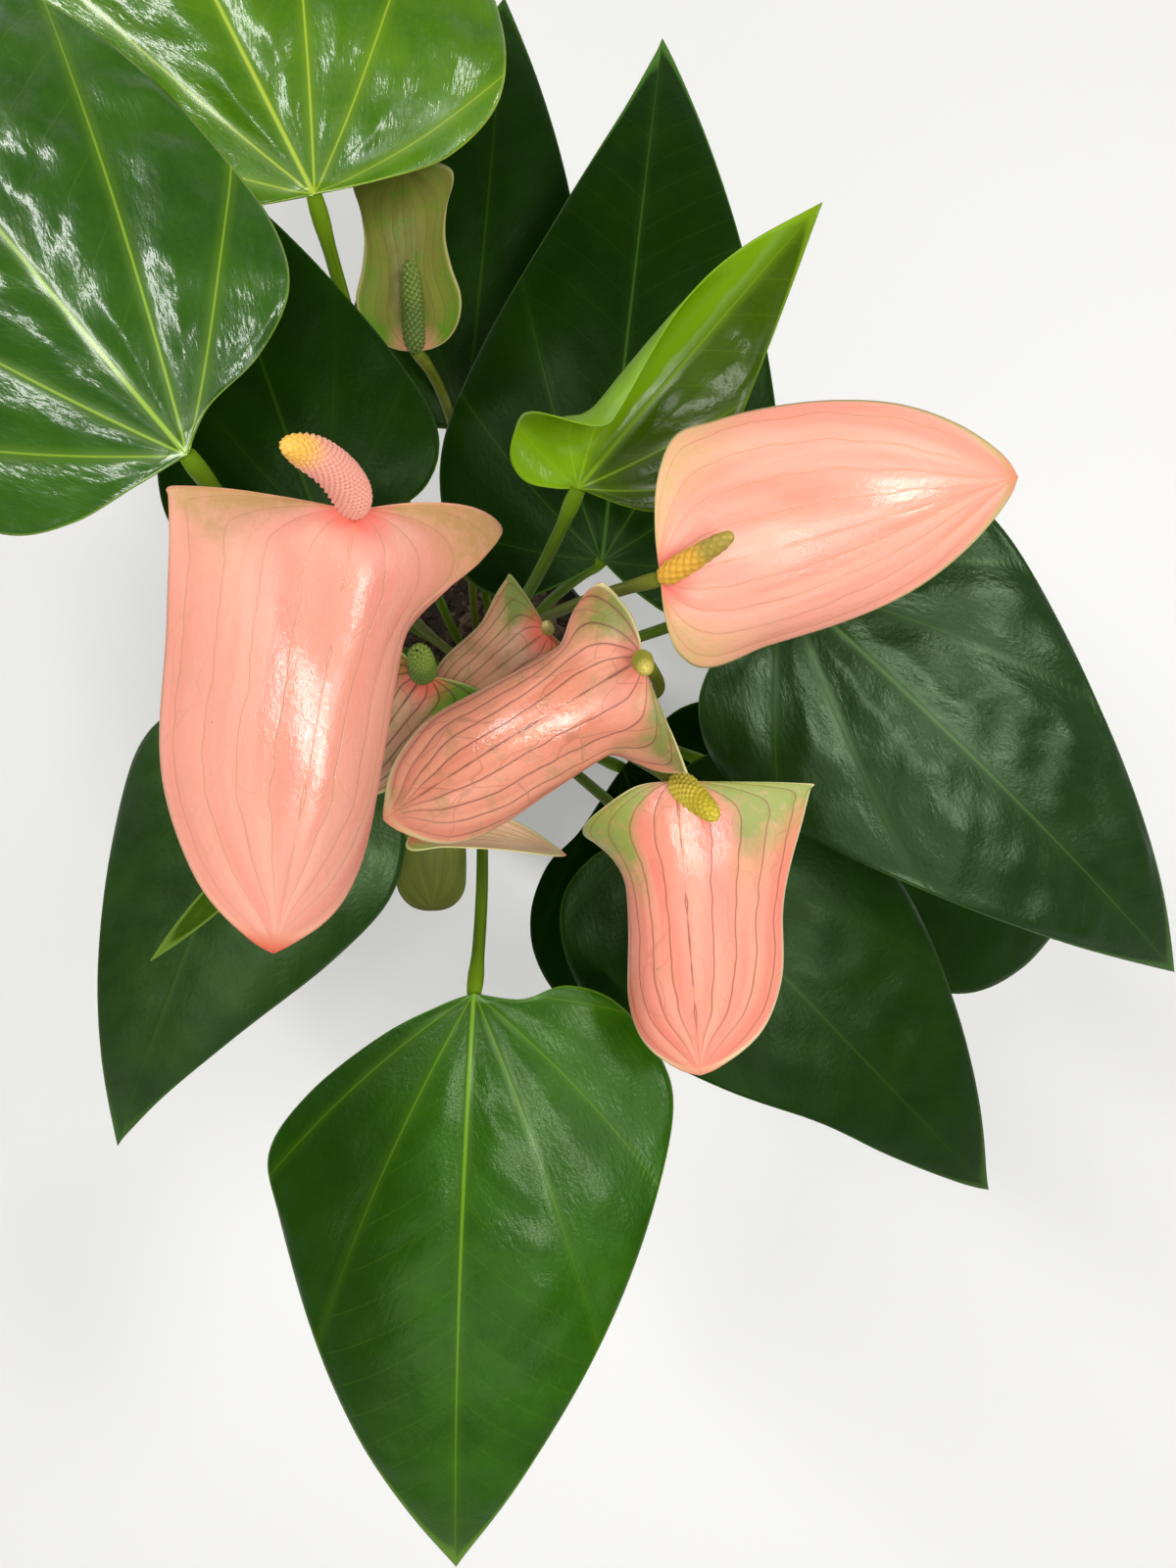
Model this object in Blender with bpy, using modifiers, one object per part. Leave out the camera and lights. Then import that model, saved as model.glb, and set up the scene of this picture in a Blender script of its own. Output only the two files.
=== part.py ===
"""A potted anthurium: long-stalked heart-shaped leaves and salmon blooms in a round nursery pot.

The origin is the middle of the pot's underside, +Z is up and the units are metres. A leaf is a
blade and its petiole in one solid. A bloom is a stem, a spathe and a spadix. Every stalk stands
in its own hole in the growing medium.
"""
import math

import bmesh
import bpy
from mathutils import Matrix, Vector

# Pot and growing medium
POT_HEIGHT = 0.125
POT_RIM_RADIUS = 0.070
POT_BASE_RADIUS = 0.050
POT_WALL = 0.0016
POT_FLOOR = 0.0025
RIM_BAND_HEIGHT = 0.012
RIM_BAND_STEP = 0.0022
RIM_EDGE = 0.0006
DRAIN_HOLES = 8
DRAIN_HOLE_RADIUS = 0.005
DRAIN_CIRCLE_RADIUS = 0.034
DRAIN_HOLE_SIDES = 10
POT_SIDES = 40
MEDIUM_TOP = 0.110
MEDIUM_RINGS = (0.060, 0.046, 0.032, 0.017)
MEDIUM_RELIEF = 0.0016
MEDIUM_LUMPS_ACROSS = 310
MEDIUM_LUMPS_ALONG = 270
STALK_HOLE_SIDES = 8
STALK_HOLE_RUN_OUT = 0.010

# Stalks
STALK_DEPTH = 0.028
PETIOLE_RADIUS = 0.0021
PETIOLE_TOP_RADIUS = 0.0026
BLOOM_STEM_RADIUS = 0.0019
STALK_POINTS = 10
STALK_BEVEL_RESOLUTION = 1
JOIN_OVERLAP = 0.0012

# Blades
LEAF_THICKNESS = 0.0009
SPATHE_THICKNESS = 0.0008
LEAF_COLUMNS = 8
LEAF_ROWS = 10
SPATHE_COLUMNS = 8
SPATHE_ROWS = 12

# Spadices
SPADIX_SIDES = 8
SPADIX_RINGS = 11
FLORET_RELIEF = 0.07

# Meshes that touch keep this gap
CLEARANCE = 0.0003

# Half outlines as (across, along), in half widths and lengths, from the stalk round to the tip
HEART_MARGIN = (
    (0.00, 0.000), (0.20, -0.045), (0.50, -0.085), (0.80, -0.055), (0.97, 0.055), (1.00, 0.190),
    (0.86, 0.365), (0.60, 0.570), (0.32, 0.780), (0.09, 0.940), (0.00, 1.000),
)
TAPERED_MARGIN = (
    (0.00, 0.000), (0.22, -0.005), (0.50, 0.000), (0.78, 0.030), (0.96, 0.100), (1.00, 0.200),
    (0.88, 0.360), (0.63, 0.565), (0.33, 0.780), (0.09, 0.940), (0.00, 1.000),
)
BROAD_MARGIN = (
    (0.00, 0.000), (0.22, -0.005), (0.50, 0.000), (0.78, 0.035), (0.95, 0.115), (1.00, 0.225),
    (0.92, 0.385), (0.70, 0.590), (0.38, 0.795), (0.10, 0.945), (0.00, 1.000),
)
ACUTE_MARGIN = (
    (0.00, 0.000), (0.20, -0.045), (0.50, -0.085), (0.80, -0.055), (0.97, 0.055), (1.00, 0.190),
    (0.82, 0.370), (0.48, 0.590), (0.20, 0.790), (0.04, 0.945), (0.00, 1.000),
)
LOPSIDED_MARGIN = (
    (0.00, 0.000), (0.19, 0.030), (0.50, 0.042), (0.78, 0.085), (0.91, 0.175), (0.94, 0.310),
    (0.90, 0.460), (0.73, 0.665), (0.44, 0.840), (0.13, 0.960), (0.00, 1.000),
)
KITE_MARGIN = (
    (0.00, 0.000), (0.16, 0.020), (0.45, 0.070), (0.82, 0.165), (1.03, 0.265), (0.95, 0.370),
    (0.76, 0.550), (0.53, 0.705), (0.25, 0.860), (0.06, 0.965), (0.00, 1.000),
)
SHOULDERED_MARGIN = (
    (0.00, 0.000), (0.24, 0.006), (0.46, -0.018), (0.72, 0.004), (0.96, 0.085), (1.04, 0.180),
    (0.91, 0.370), (0.70, 0.555), (0.38, 0.760), (0.10, 0.930), (0.00, 1.000),
)
CORDATE_MARGIN = (
    (0.00, 0.000), (0.33, -0.034), (0.66, -0.018), (0.90, 0.060), (1.01, 0.170), (0.99, 0.340),
    (0.88, 0.480), (0.67, 0.620), (0.35, 0.805), (0.08, 0.950), (0.00, 1.000),
)
SCOOPED_MARGIN = (
    (0.00, 0.000), (0.33, -0.034), (0.66, -0.018), (0.90, 0.060), (1.01, 0.170), (0.94, 0.300),
    (0.76, 0.430), (0.48, 0.590), (0.31, 0.750), (0.10, 0.930), (0.00, 1.000),
)
BLUNT_MARGIN = (
    (0.00, 0.000), (0.30, -0.020), (0.62, -0.010), (0.88, 0.070), (0.98, 0.220), (1.00, 0.420),
    (0.95, 0.620), (0.83, 0.790), (0.52, 0.900), (0.17, 0.965), (0.00, 1.000),
)
SWUNG_MARGIN = (
    (0.00, 0.000), (0.19, 0.060), (0.45, 0.140), (0.70, 0.195), (0.92, 0.310), (1.02, 0.450),
    (0.97, 0.600), (0.76, 0.760), (0.42, 0.890), (0.13, 0.970), (0.00, 1.000),
)
ROUND_MARGIN = (
    (0.00, 0.000), (0.25, -0.010), (0.55, -0.010), (0.82, 0.030), (0.97, 0.130), (1.00, 0.280),
    (0.93, 0.460), (0.73, 0.660), (0.42, 0.840), (0.13, 0.960), (0.00, 1.000),
)
CLOAK_MARGIN = (
    (0.00, 0.000), (0.36, -0.012), (0.70, -0.018), (0.98, -0.012), (1.04, 0.002), (1.02, 0.028),
    (0.98, 0.130), (0.96, 0.290), (0.95, 0.490), (0.83, 0.690), (0.52, 0.870), (0.17, 0.970),
    (0.00, 1.000),
)
PEAKED_MARGIN = (
    (0.00, 0.000), (0.36, -0.004), (0.70, -0.006), (0.94, 0.000), (1.03, 0.007), (0.94, 0.028),
    (0.76, 0.100), (0.67, 0.250), (0.70, 0.460), (0.70, 0.680), (0.42, 0.870), (0.12, 0.965),
    (0.00, 1.000),
)
CURLED_MARGIN = (
    (0.00, 0.000), (0.18, -0.040), (0.42, -0.058), (0.68, -0.044), (0.86, -0.020), (0.89, 0.000),
    (0.83, 0.026), (0.74, 0.100), (0.67, 0.250), (0.70, 0.460), (0.72, 0.680), (0.45, 0.870),
    (0.14, 0.965), (0.00, 1.000),
)
TENT_MARGIN = (
    (0.00, 0.000), (0.40, -0.016), (0.80, -0.026), (1.12, -0.024), (1.18, -0.010), (1.14, 0.020),
    (1.07, 0.130), (0.98, 0.290), (0.91, 0.480), (0.86, 0.700), (0.62, 0.870), (0.20, 0.970),
    (0.00, 1.000),
)
SLANT_MARGIN = (
    (0.00, 0.000), (0.26, -0.014), (0.51, -0.010), (0.70, 0.035), (0.77, 0.130), (0.76, 0.280),
    (0.70, 0.460), (0.57, 0.650), (0.36, 0.820), (0.13, 0.955), (0.00, 1.000),
)
LOBED_MARGIN = (
    (0.00, 0.000), (0.34, -0.030), (0.68, 0.005), (0.92, 0.045), (1.02, 0.085), (0.96, 0.130),
    (0.84, 0.210), (0.76, 0.320), (0.74, 0.460), (0.77, 0.600), (0.77, 0.750), (0.57, 0.890),
    (0.20, 0.975), (0.00, 1.000),
)
SPOON_MARGIN = (
    (0.00, 0.000), (0.30, -0.020), (0.62, -0.010), (0.88, 0.070), (0.98, 0.220), (1.00, 0.440),
    (0.98, 0.660), (0.90, 0.840), (0.64, 0.950), (0.30, 0.995), (0.00, 1.000),
)
SHIELD_MARGIN = (
    (0.00, 0.000), (0.32, -0.025), (0.66, -0.040), (0.98, 0.000), (0.93, 0.110), (0.93, 0.260),
    (1.00, 0.460), (0.95, 0.660), (0.68, 0.850), (0.24, 0.965), (0.00, 1.000),
)
OVAL_MARGIN = (
    (0.00, 0.000), (0.30, -0.005), (0.62, 0.015), (0.90, 0.080), (1.00, 0.200), (0.99, 0.360),
    (0.90, 0.540), (0.72, 0.720), (0.46, 0.860), (0.17, 0.965), (0.00, 1.000),
)
FLARED_MARGIN = (
    (0.00, 0.000), (0.34, 0.010), (0.70, 0.065), (0.97, 0.170), (1.05, 0.290), (0.88, 0.430),
    (0.78, 0.580), (0.84, 0.740), (1.00, 0.880), (0.96, 0.960), (0.46, 0.990), (0.00, 1.000),
)


class Blade:
    """A leaf blade or a spathe, as a sheet laid between the point of its stalk and its tip.

    Angles are in degrees. Roll turns the right side down, looking from stalk to tip. Droop is how
    far the midrib turns down over its length. Left and right say how far the sheet has turned up
    at the margin on that side near the stalk, in the middle and near the tip, and fold is how
    steeply both sides rise from the midrib. The neck is the share of the length over which the
    turn near the stalk gives way, on the left and on the right, and forward is the share of the
    length by which each side's lobe is set towards the tip. The left side has the right side's
    margin unless it is given one. Wave is the height, count and phase of the ripple.
    """

    def __init__(self, base, tip, half_width, margin, left_margin=None, neck=(0.4, 0.4), roll=0,
                 droop=40, fold=0, left=(-10, -20, -20), right=(-10, -20, -20),
                 forward=(0.0, 0.0), wave=(0.0, 2.5, 0.0)):
        self.base = Vector(base)
        self.half_width = half_width
        self.margins = {-1: left_margin or margin, 1: margin}
        self.neck = {-1: neck[0], 1: neck[1]}
        self.droop = math.radians(droop)
        self.fold = math.radians(fold)
        self.turns = {-1: [math.radians(angle) for angle in left],
                      1: [math.radians(angle) for angle in right]}
        self.forward = {-1: forward[0], 1: forward[1]}
        self.wave = wave
        chord = Vector(tip) - self.base
        half = self.droop / 2
        self.length = chord.length * (half / math.sin(half) if half else 1)
        along = chord.normalized()
        across = along.cross(Vector((0, 0, 1))).normalized()
        self.frame = Matrix((across, along, across.cross(along))).transposed()
        self.frame = self.frame @ Matrix.Rotation(math.radians(roll), 3, "Y")

    def normal(self):
        """The direction that the upper face looks in where the stalk meets it."""
        half = self.droop / 2
        return self.frame @ Vector((0, -math.sin(half), math.cos(half)))

    def turn(self, side, share):
        """How far the margin has turned up on one side, at a share of the length."""
        near, middle, far = self.turns[side]
        neck = self.neck[side]
        if share < neck:
            return near + (middle - near) * smooth(share / neck)
        return middle + (far - middle) * smooth((share - neck) / (1 - neck))

    def point(self, u, v):
        """The place of one point: u runs from margin to margin, v from the stalk to the tip."""
        side = 1 if u >= 0 else -1
        edge_across, edge_along = spline(self.margins[side], v)
        rib_along = v ** 1.6
        across = abs(u) * edge_across * self.half_width
        edge_along += self.forward[side] * edge_across * (1 - v) ** 1.5
        share = rib_along + (edge_along - rib_along) * u * u
        rate = self.turn(side, share) / self.half_width
        out, lift = arc(across, self.fold, rate)
        height, count, phase = self.wave
        lift += height * edge_across * abs(u) ** 3 * math.sin(math.tau * count * v + phase + side)
        rib_y, rib_z = arc(share * self.length, self.droop / 2, -self.droop / self.length)
        slope = self.droop / 2 - self.droop * max(share, 0)
        local = Vector((side * out, rib_y - lift * math.sin(slope), rib_z + lift * math.cos(slope)))
        return self.base + self.frame @ local


def smooth(share):
    """A ramp from 0 to 1 that starts and ends level."""
    share = min(max(share, 0), 1)
    return share * share * (3 - 2 * share)


def arc(distance, start, rate):
    """How far along and up a line gets that sets off at an angle and turns at an even rate."""
    if abs(rate) < 1e-6:
        return distance * math.cos(start), distance * math.sin(start)
    end = start + rate * distance
    return (math.sin(end) - math.sin(start)) / rate, (math.cos(start) - math.cos(end)) / rate


def spline(points, share):
    """A point on the smooth curve through a half outline's points."""
    place = min(max(share, 0), 1) * (len(points) - 1)
    index = min(int(place), len(points) - 2)
    t = place - index
    before, start, end, after = (Vector(points[min(max(index + step, 0), len(points) - 1)])
                                 for step in (-1, 0, 1, 2))
    return (start * 2 + (end - before) * t + (before * 2 - start * 5 + end * 4 - after) * t ** 2
            + (start * 3 - before - end * 3 + after) * t ** 3) / 2


def widened(margin, factor):
    """A half outline with its widths scaled."""
    return tuple((across * factor, along) for across, along in margin)


# Leaves: name, stalk and blade. A stalk has the place of its root in the growing medium and how
# far it leans at its top, where it heads outward unless a heading in degrees is given
LEAVES = (
    ("leaf_01_front", dict(root=(0.004, -0.026), lean=0.9, heading=-92), dict(
        base=(0.024, -0.125, 0.388), tip=(0.015, -0.326, 0.358), half_width=0.064,
        margin=KITE_MARGIN, left_margin=SHOULDERED_MARGIN, droop=40, left=(-22, -20, -16),
        right=(-30, -22, -16), wave=(0.0020, 2.5, 0.6))),
    ("leaf_02_upper_left", dict(root=(-0.012, 0.000), lean=0.5, heading=115), dict(
        base=(-0.040, 0.023, 0.466), tip=(-0.159, 0.167, 0.434), half_width=0.060,
        margin=LOPSIDED_MARGIN, left_margin=ROUND_MARGIN, droop=40, left=(-18, -26, -26),
        right=(-16, -22, -20), forward=(0.10, 0.0), wave=(0.0020, 3.0, 1.2))),
    ("leaf_03_top", dict(root=(-0.005, 0.011), lean=0.9, heading=100), dict(
        base=(-0.019, 0.111, 0.420), tip=(-0.117, 0.304, 0.396), half_width=0.076,
        margin=ROUND_MARGIN, droop=40, left=(-14, -20, -22), right=(-16, -20, -22),
        forward=(0.15, -0.04), wave=(0.0035, 3.5, 0.2))),
    ("leaf_04_back_low", dict(root=(0.010, 0.023), lean=0.5), dict(
        base=(0.012, 0.080, 0.298), tip=(0.026, 0.260, 0.282), half_width=0.048,
        margin=TAPERED_MARGIN, roll=10, droop=38, left=(-14, -22, -20), right=(-18, -24, -20),
        wave=(0.0018, 2.5, 2.0))),
    ("leaf_05_left", dict(root=(-0.017, 0.014), lean=0.3, heading=120), dict(
        base=(-0.019, 0.0155, 0.408), tip=(-0.0605, 0.134, 0.398), half_width=0.043,
        margin=TAPERED_MARGIN, roll=2, droop=36, left=(-14, -24, -20), right=(-14, -20, -20),
        wave=(0.0018, 2.5, 1.0))),
    ("leaf_06_back", dict(root=(0.025, 0.009), lean=0.5), dict(
        base=(0.065, 0.021, 0.338), tip=(0.088, 0.222, 0.316), half_width=0.062,
        margin=HEART_MARGIN, left_margin=ACUTE_MARGIN, droop=38, left=(-14, -22, -18),
        right=(-18, -22, -18), wave=(0.0022, 3.0, 0.0))),
    ("leaf_07_young", dict(root=(0.008, 0.008), lean=0.8, heading=60), dict(
        base=(0.057, 0.030, 0.405), tip=(0.127, 0.107, 0.424), half_width=0.028,
        margin=TAPERED_MARGIN, left_margin=HEART_MARGIN, neck=(0.2, 0.2), droop=8,
        left=(12, 172, 168), right=(0, -12, -20), forward=(0.0, 0.14),
        wave=(0.0006, 2.5, 0.4))),
    ("leaf_08_right", dict(root=(0.026, -0.002), lean=0.9, heading=20), dict(
        base=(0.122, 0.006, 0.385), tip=(0.266, -0.125, 0.346), half_width=0.060,
        margin=TAPERED_MARGIN, roll=4, droop=40, left=(-12, -20, -20), right=(-26, -26, -18),
        wave=(0.0022, 2.5, 1.6))),
    ("leaf_09_lower_right", dict(root=(0.011, -0.017), lean=0.7), dict(
        base=(0.080, -0.076, 0.350), tip=(0.215, -0.216, 0.304), half_width=0.057,
        margin=SCOOPED_MARGIN, left_margin=CORDATE_MARGIN, droop=40, left=(-14, -22, -20),
        right=(-18, -22, -20), wave=(0.0020, 2.5, 2.6))),
    ("leaf_10_right_low", dict(root=(0.025, -0.012), lean=1.3), dict(
        base=(0.108, -0.052, 0.306), tip=(0.265, -0.113, 0.262), half_width=0.058,
        margin=BLUNT_MARGIN, left_margin=TAPERED_MARGIN, roll=-4, droop=40,
        left=(-16, -22, -20), right=(-16, -22, -20), wave=(0.0018, 2.5, 0.9))),
    ("leaf_11_lower_left", dict(root=(-0.017, -0.014), lean=0.5), dict(
        base=(-0.046, -0.042, 0.352), tip=(-0.118, -0.196, 0.314), half_width=0.046,
        margin=TAPERED_MARGIN, left_margin=widened(ACUTE_MARGIN, 1.26), roll=-4, droop=38,
        left=(-14, -24, -18), right=(-22, -26, -18), forward=(0.12, 0.0),
        wave=(0.0020, 2.5, 1.3))),
    ("leaf_12_front_low", dict(root=(0.014, -0.026), lean=1.0), dict(
        base=(0.0745, -0.0525, 0.275), tip=(0.120, -0.186, 0.232), half_width=0.062,
        margin=SWUNG_MARGIN, left_margin=HEART_MARGIN, droop=30, left=(-16, -24, -20),
        right=(-16, -24, -20), forward=(-0.06, 0.0), wave=(0.0010, 2.5, 1.0))),
    ("leaf_13_furled", dict(root=(-0.008, -0.013), lean=0.5), dict(
        base=(-0.018, -0.058, 0.376), tip=(-0.083, -0.117, 0.376), half_width=0.011,
        margin=BROAD_MARGIN, roll=0, droop=14, fold=36, left=(40, 60, 50),
        right=(40, 60, 50))),
)

# Blooms: number, stalk, spathe, and the spadix with its axis from base to tip and its radius
BLOOMS = (
    ("01", dict(root=(0.000, 0.001), lean=0.15), dict(
        base=(0.005, 0.006, 0.480), tip=(-0.018, -0.101, 0.468), half_width=0.042,
        margin=CLOAK_MARGIN, left_margin=PEAKED_MARGIN, neck=(0.24, 0.50), roll=-14, droop=34,
        left=(-50, -140, -130), right=(-14, -44, -56), forward=(-0.18, 0.05)),
     dict(axis=(-0.0068, 0.0040, 0.0400), radius=0.0047, bend=(0.0022, 0.0022, 0.0))),
    ("02", dict(root=(0.017, 0.001), lean=0.45), dict(
        base=(0.079, -0.005, 0.450), tip=(0.176, 0.024, 0.442), half_width=0.041,
        margin=SLANT_MARGIN, left_margin=OVAL_MARGIN, neck=(0.25, 0.25), roll=14, droop=36,
        left=(-30, -54, -56), right=(-50, -74, -50), forward=(0.08, 0.00)),
     dict(axis=(0.017, 0.008, 0.018), radius=0.0032)),
    ("03", dict(root=(0.0105, -0.008), lean=0.5), dict(
        base=(0.0855, -0.058, 0.418), tip=(0.094, -0.147, 0.404), half_width=0.034,
        margin=LOBED_MARGIN, left_margin=TENT_MARGIN, neck=(0.50, 0.36), roll=4, droop=30,
        left=(-8, -46, -50), right=(-24, -110, -84), forward=(0.09, 0.12)),
     dict(axis=(0.009, -0.010, 0.024), radius=0.0039)),
    ("04", dict(root=(0.018, -0.007), lean=0.4, heading=150), dict(
        base=(0.0745, -0.025, 0.440), tip=(0.003, -0.069, 0.432), half_width=0.028,
        margin=CURLED_MARGIN, left_margin=TENT_MARGIN, neck=(0.24, 0.20), roll=2, droop=34,
        left=(20, -96, -80), right=(64, -92, -60), forward=(0.12, 0.06)),
     dict(axis=(0.000, -0.005, 0.020), radius=0.0027)),
    ("05", dict(root=(0.008, 0.0005), lean=0.4), dict(
        base=(0.0475, -0.011, 0.390), tip=(0.010, -0.039, 0.380), half_width=0.019,
        margin=TENT_MARGIN, left_margin=SHIELD_MARGIN, neck=(0.25, 0.40), roll=4, droop=30,
        left=(-14, -70, -50), right=(-4, -50, -50)),
     dict(axis=(0.000, 0.000, 0.015), radius=0.0020)),
    ("06", dict(root=(-0.003, -0.007), lean=0.3, heading=-30), dict(
        base=(0.010, -0.026, 0.402), tip=(-0.017, -0.062, 0.390), half_width=0.016,
        margin=SHIELD_MARGIN, left_margin=TENT_MARGIN, neck=(0.40, 0.25), roll=-4, droop=30,
        left=(-14, -50, -50), right=(-14, -70, -50), forward=(-0.16, 0.00)),
     dict(axis=(0.0013, 0.0055, 0.018), radius=0.0040)),
    ("07", dict(root=(0.003, -0.016), lean=0.5, heading=-110), dict(
        base=(0.0035, -0.0750, 0.385), tip=(0.053, -0.082, 0.380), half_width=0.015,
        margin=SLANT_MARGIN, neck=(0.25, 0.25), roll=-60, droop=24, left=(30, 70, 70),
        right=(10, 34, 60)),
     dict(axis=(0.009, 0.010, 0.004), radius=0.0020)),
    ("08", dict(root=(0.002, 0.017), lean=0.2, heading=180), dict(
        base=(0.003, 0.084, 0.371), tip=(0.001, 0.138, 0.390), half_width=0.0165,
        margin=FLARED_MARGIN, neck=(0.25, 0.25), roll=0, droop=34, left=(14, 24, -30),
        right=(14, 24, -30)),
     dict(axis=(0.001, 0.022, 0.018), radius=0.0033)),
    ("09", dict(root=(-0.009, -0.022), lean=0.3), dict(
        base=(0.001, -0.060, 0.330), tip=(0.0015, -0.1065, 0.318), half_width=0.0140,
        margin=SPOON_MARGIN, neck=(0.25, 0.25), roll=0, droop=24, left=(-10, -30, -20),
        right=(-10, -30, -20)),
     dict(axis=(0.000, -0.008, 0.014), radius=0.0022)),
)


def material(name, colour, roughness, metallic=0.0):
    """A plain material with the piece's colour."""
    made = bpy.data.materials.new(name)
    made.use_nodes = True
    shader = made.node_tree.nodes["Principled BSDF"]
    shader.inputs["Base Color"].default_value = (*colour, 1)
    shader.inputs["Roughness"].default_value = roughness
    shader.inputs["Metallic"].default_value = metallic
    return made


def mesh_object(name, bm, collection, surface=None):
    """Turns a bmesh into an object in a collection, shaded smooth up to its sharp edges."""
    mesh = bpy.data.meshes.new(name)
    bm.to_mesh(mesh)
    bm.free()
    mesh.shade_smooth()
    mesh.set_sharp_from_angle(angle=math.radians(50))
    if surface:
        mesh.materials.append(surface)
    made = bpy.data.objects.new(name, mesh)
    collection.objects.link(made)
    return made


def apply_modifiers(made):
    """Gives an object the mesh that its modifiers make of it, and drops them."""
    bpy.context.view_layer.update()
    mesh = bpy.data.meshes.new_from_object(made.evaluated_get(bpy.context.evaluated_depsgraph_get()))
    made.modifiers.clear()
    made.data = mesh


def boolean(made, operation, other):
    """Joins another object to this one or cuts it away, and removes that other object."""
    step = made.modifiers.new(operation.title(), "BOOLEAN")
    step.operation = operation
    step.solver = "EXACT"
    step.object = other
    apply_modifiers(made)
    bpy.data.objects.remove(other)


def blade_object(name, blade, columns, rows, thickness, collection, surface):
    """The blade's sheet as a grid, triangulated once for both faces and then thickened."""
    bm = bmesh.new()
    bmesh.ops.create_grid(bm, x_segments=columns, y_segments=rows, size=1)
    for vertex in bm.verts:
        vertex.co = blade.point(vertex.co.x, (vertex.co.y + 1) / 2)
    bmesh.ops.remove_doubles(bm, verts=bm.verts, dist=1e-6)
    bmesh.ops.triangulate(bm, faces=bm.faces)
    made = mesh_object(name, bm, collection, surface)
    shell = made.modifiers.new("Thickness", "SOLIDIFY")
    shell.thickness = thickness
    shell.offset = 0
    shell.use_even_offset = True
    apply_modifiers(made)
    return made


def stalk_path(top, root, lean, heading=None):
    """The stalk's line: straight up out of the growing medium, then leaning over to its top."""
    foot = Vector((*root, MEDIUM_TOP))
    reach = Vector(top) - foot
    turn = math.atan2(reach.y, reach.x) if heading is None else math.radians(heading)
    sideways = Vector((math.cos(turn), math.sin(turn), 0))
    end_direction = (sideways * lean + Vector((0, 0, 1))).normalized()
    handle_low = foot + Vector((0, 0, reach.length * 0.40))
    handle_high = Vector(top) - end_direction * reach.length * 0.30
    points = [foot - Vector((0, 0, STALK_DEPTH - CLEARANCE))]
    for step in range(STALK_POINTS):
        t = step / (STALK_POINTS - 1)
        points.append(foot * (1 - t) ** 3 + handle_low * 3 * t * (1 - t) ** 2
                      + handle_high * 3 * t ** 2 * (1 - t) + Vector(top) * t ** 3)
    points.append(Vector(top) + end_direction * JOIN_OVERLAP)
    return points


def stalk_mesh(name, points, radius, top_radius):
    """A round tube along a line of points, swelling to its top radius, as a closed mesh."""
    curve = bpy.data.curves.new(name, "CURVE")
    curve.dimensions = "3D"
    curve.bevel_depth = 1
    curve.bevel_resolution = STALK_BEVEL_RESOLUTION
    curve.use_fill_caps = True
    line = curve.splines.new("POLY")
    line.points.add(len(points) - 1)
    for index, point in enumerate(points):
        line.points[index].co = (*point, 1)
        share = index / (len(points) - 1)
        line.points[index].radius = radius + (top_radius - radius) * smooth(share * 4 - 3)
    guide = bpy.data.objects.new(name, curve)
    bpy.context.scene.collection.objects.link(guide)
    bpy.context.view_layer.update()
    mesh = bpy.data.meshes.new_from_object(guide.evaluated_get(bpy.context.evaluated_depsgraph_get()))
    bm = bmesh.new()
    bm.from_mesh(mesh)
    bmesh.ops.remove_doubles(bm, verts=bm.verts, dist=1e-6)
    bpy.data.objects.remove(guide)
    return bm


def cut_flat(bm, place, direction):
    """Cuts a closed mesh off flat at a plane, on the side that the direction points to."""
    cut = bmesh.ops.bisect_plane(bm, geom=bm.verts[:] + bm.edges[:] + bm.faces[:], dist=1e-7,
                                 plane_co=place, plane_no=direction, clear_outer=True)
    edges = [item for item in cut["geom_cut"] if isinstance(item, bmesh.types.BMEdge)]
    bmesh.ops.contextual_create(bm, geom=edges)
    bmesh.ops.recalc_face_normals(bm, faces=bm.faces)


def make_pot(collection, cutters):
    """A tapered pot turned from its profile, with a stepped rim band and drain holes."""
    band_foot = POT_HEIGHT - RIM_BAND_HEIGHT
    profile = (
        (POT_RIM_RADIUS - POT_WALL, POT_HEIGHT),
        (POT_RIM_RADIUS - RIM_EDGE, POT_HEIGHT),
        (POT_RIM_RADIUS, POT_HEIGHT - RIM_EDGE),
        (POT_RIM_RADIUS - RIM_EDGE, band_foot),
        (pot_outer_radius(band_foot), band_foot - RIM_EDGE),
        (POT_BASE_RADIUS, 0.0),
        (0.0, 0.0),
        (0.0, POT_FLOOR),
        (pot_inner_radius(POT_FLOOR), POT_FLOOR),
        (pot_inner_radius(band_foot), band_foot),
    )
    bm = bmesh.new()
    corners = [bm.verts.new((radius, 0, height)) for radius, height in profile]
    for start, end in zip(corners, corners[1:] + corners[:1]):
        if start.co.x > 0 or end.co.x > 0:
            bm.edges.new((start, end))
    pot = mesh_object("pot", bm, collection, material("pot_plastic", (0.02, 0.02, 0.022), 0.45))
    turn_about_z(pot)
    bm = bmesh.new()
    for index in range(DRAIN_HOLES):
        angle = math.tau * (index + 0.5) / DRAIN_HOLES
        place = Vector((math.cos(angle), math.sin(angle), 0)) * DRAIN_CIRCLE_RADIUS
        bmesh.ops.create_cone(bm, cap_ends=True, segments=DRAIN_HOLE_SIDES,
                              radius1=DRAIN_HOLE_RADIUS,
                              radius2=DRAIN_HOLE_RADIUS, depth=4 * POT_FLOOR,
                              matrix=Matrix.Translation(place))
    boolean(pot, "DIFFERENCE", mesh_object("drain_cutter", bm, cutters))


def pot_outer_radius(height):
    """The radius of the pot's outside at a height below its rim band."""
    taper = (POT_RIM_RADIUS - RIM_BAND_STEP - POT_BASE_RADIUS) / POT_HEIGHT
    return POT_BASE_RADIUS + taper * height


def pot_inner_radius(height):
    """The radius of the pot's inside at a height."""
    return pot_outer_radius(height) - POT_WALL


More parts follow.
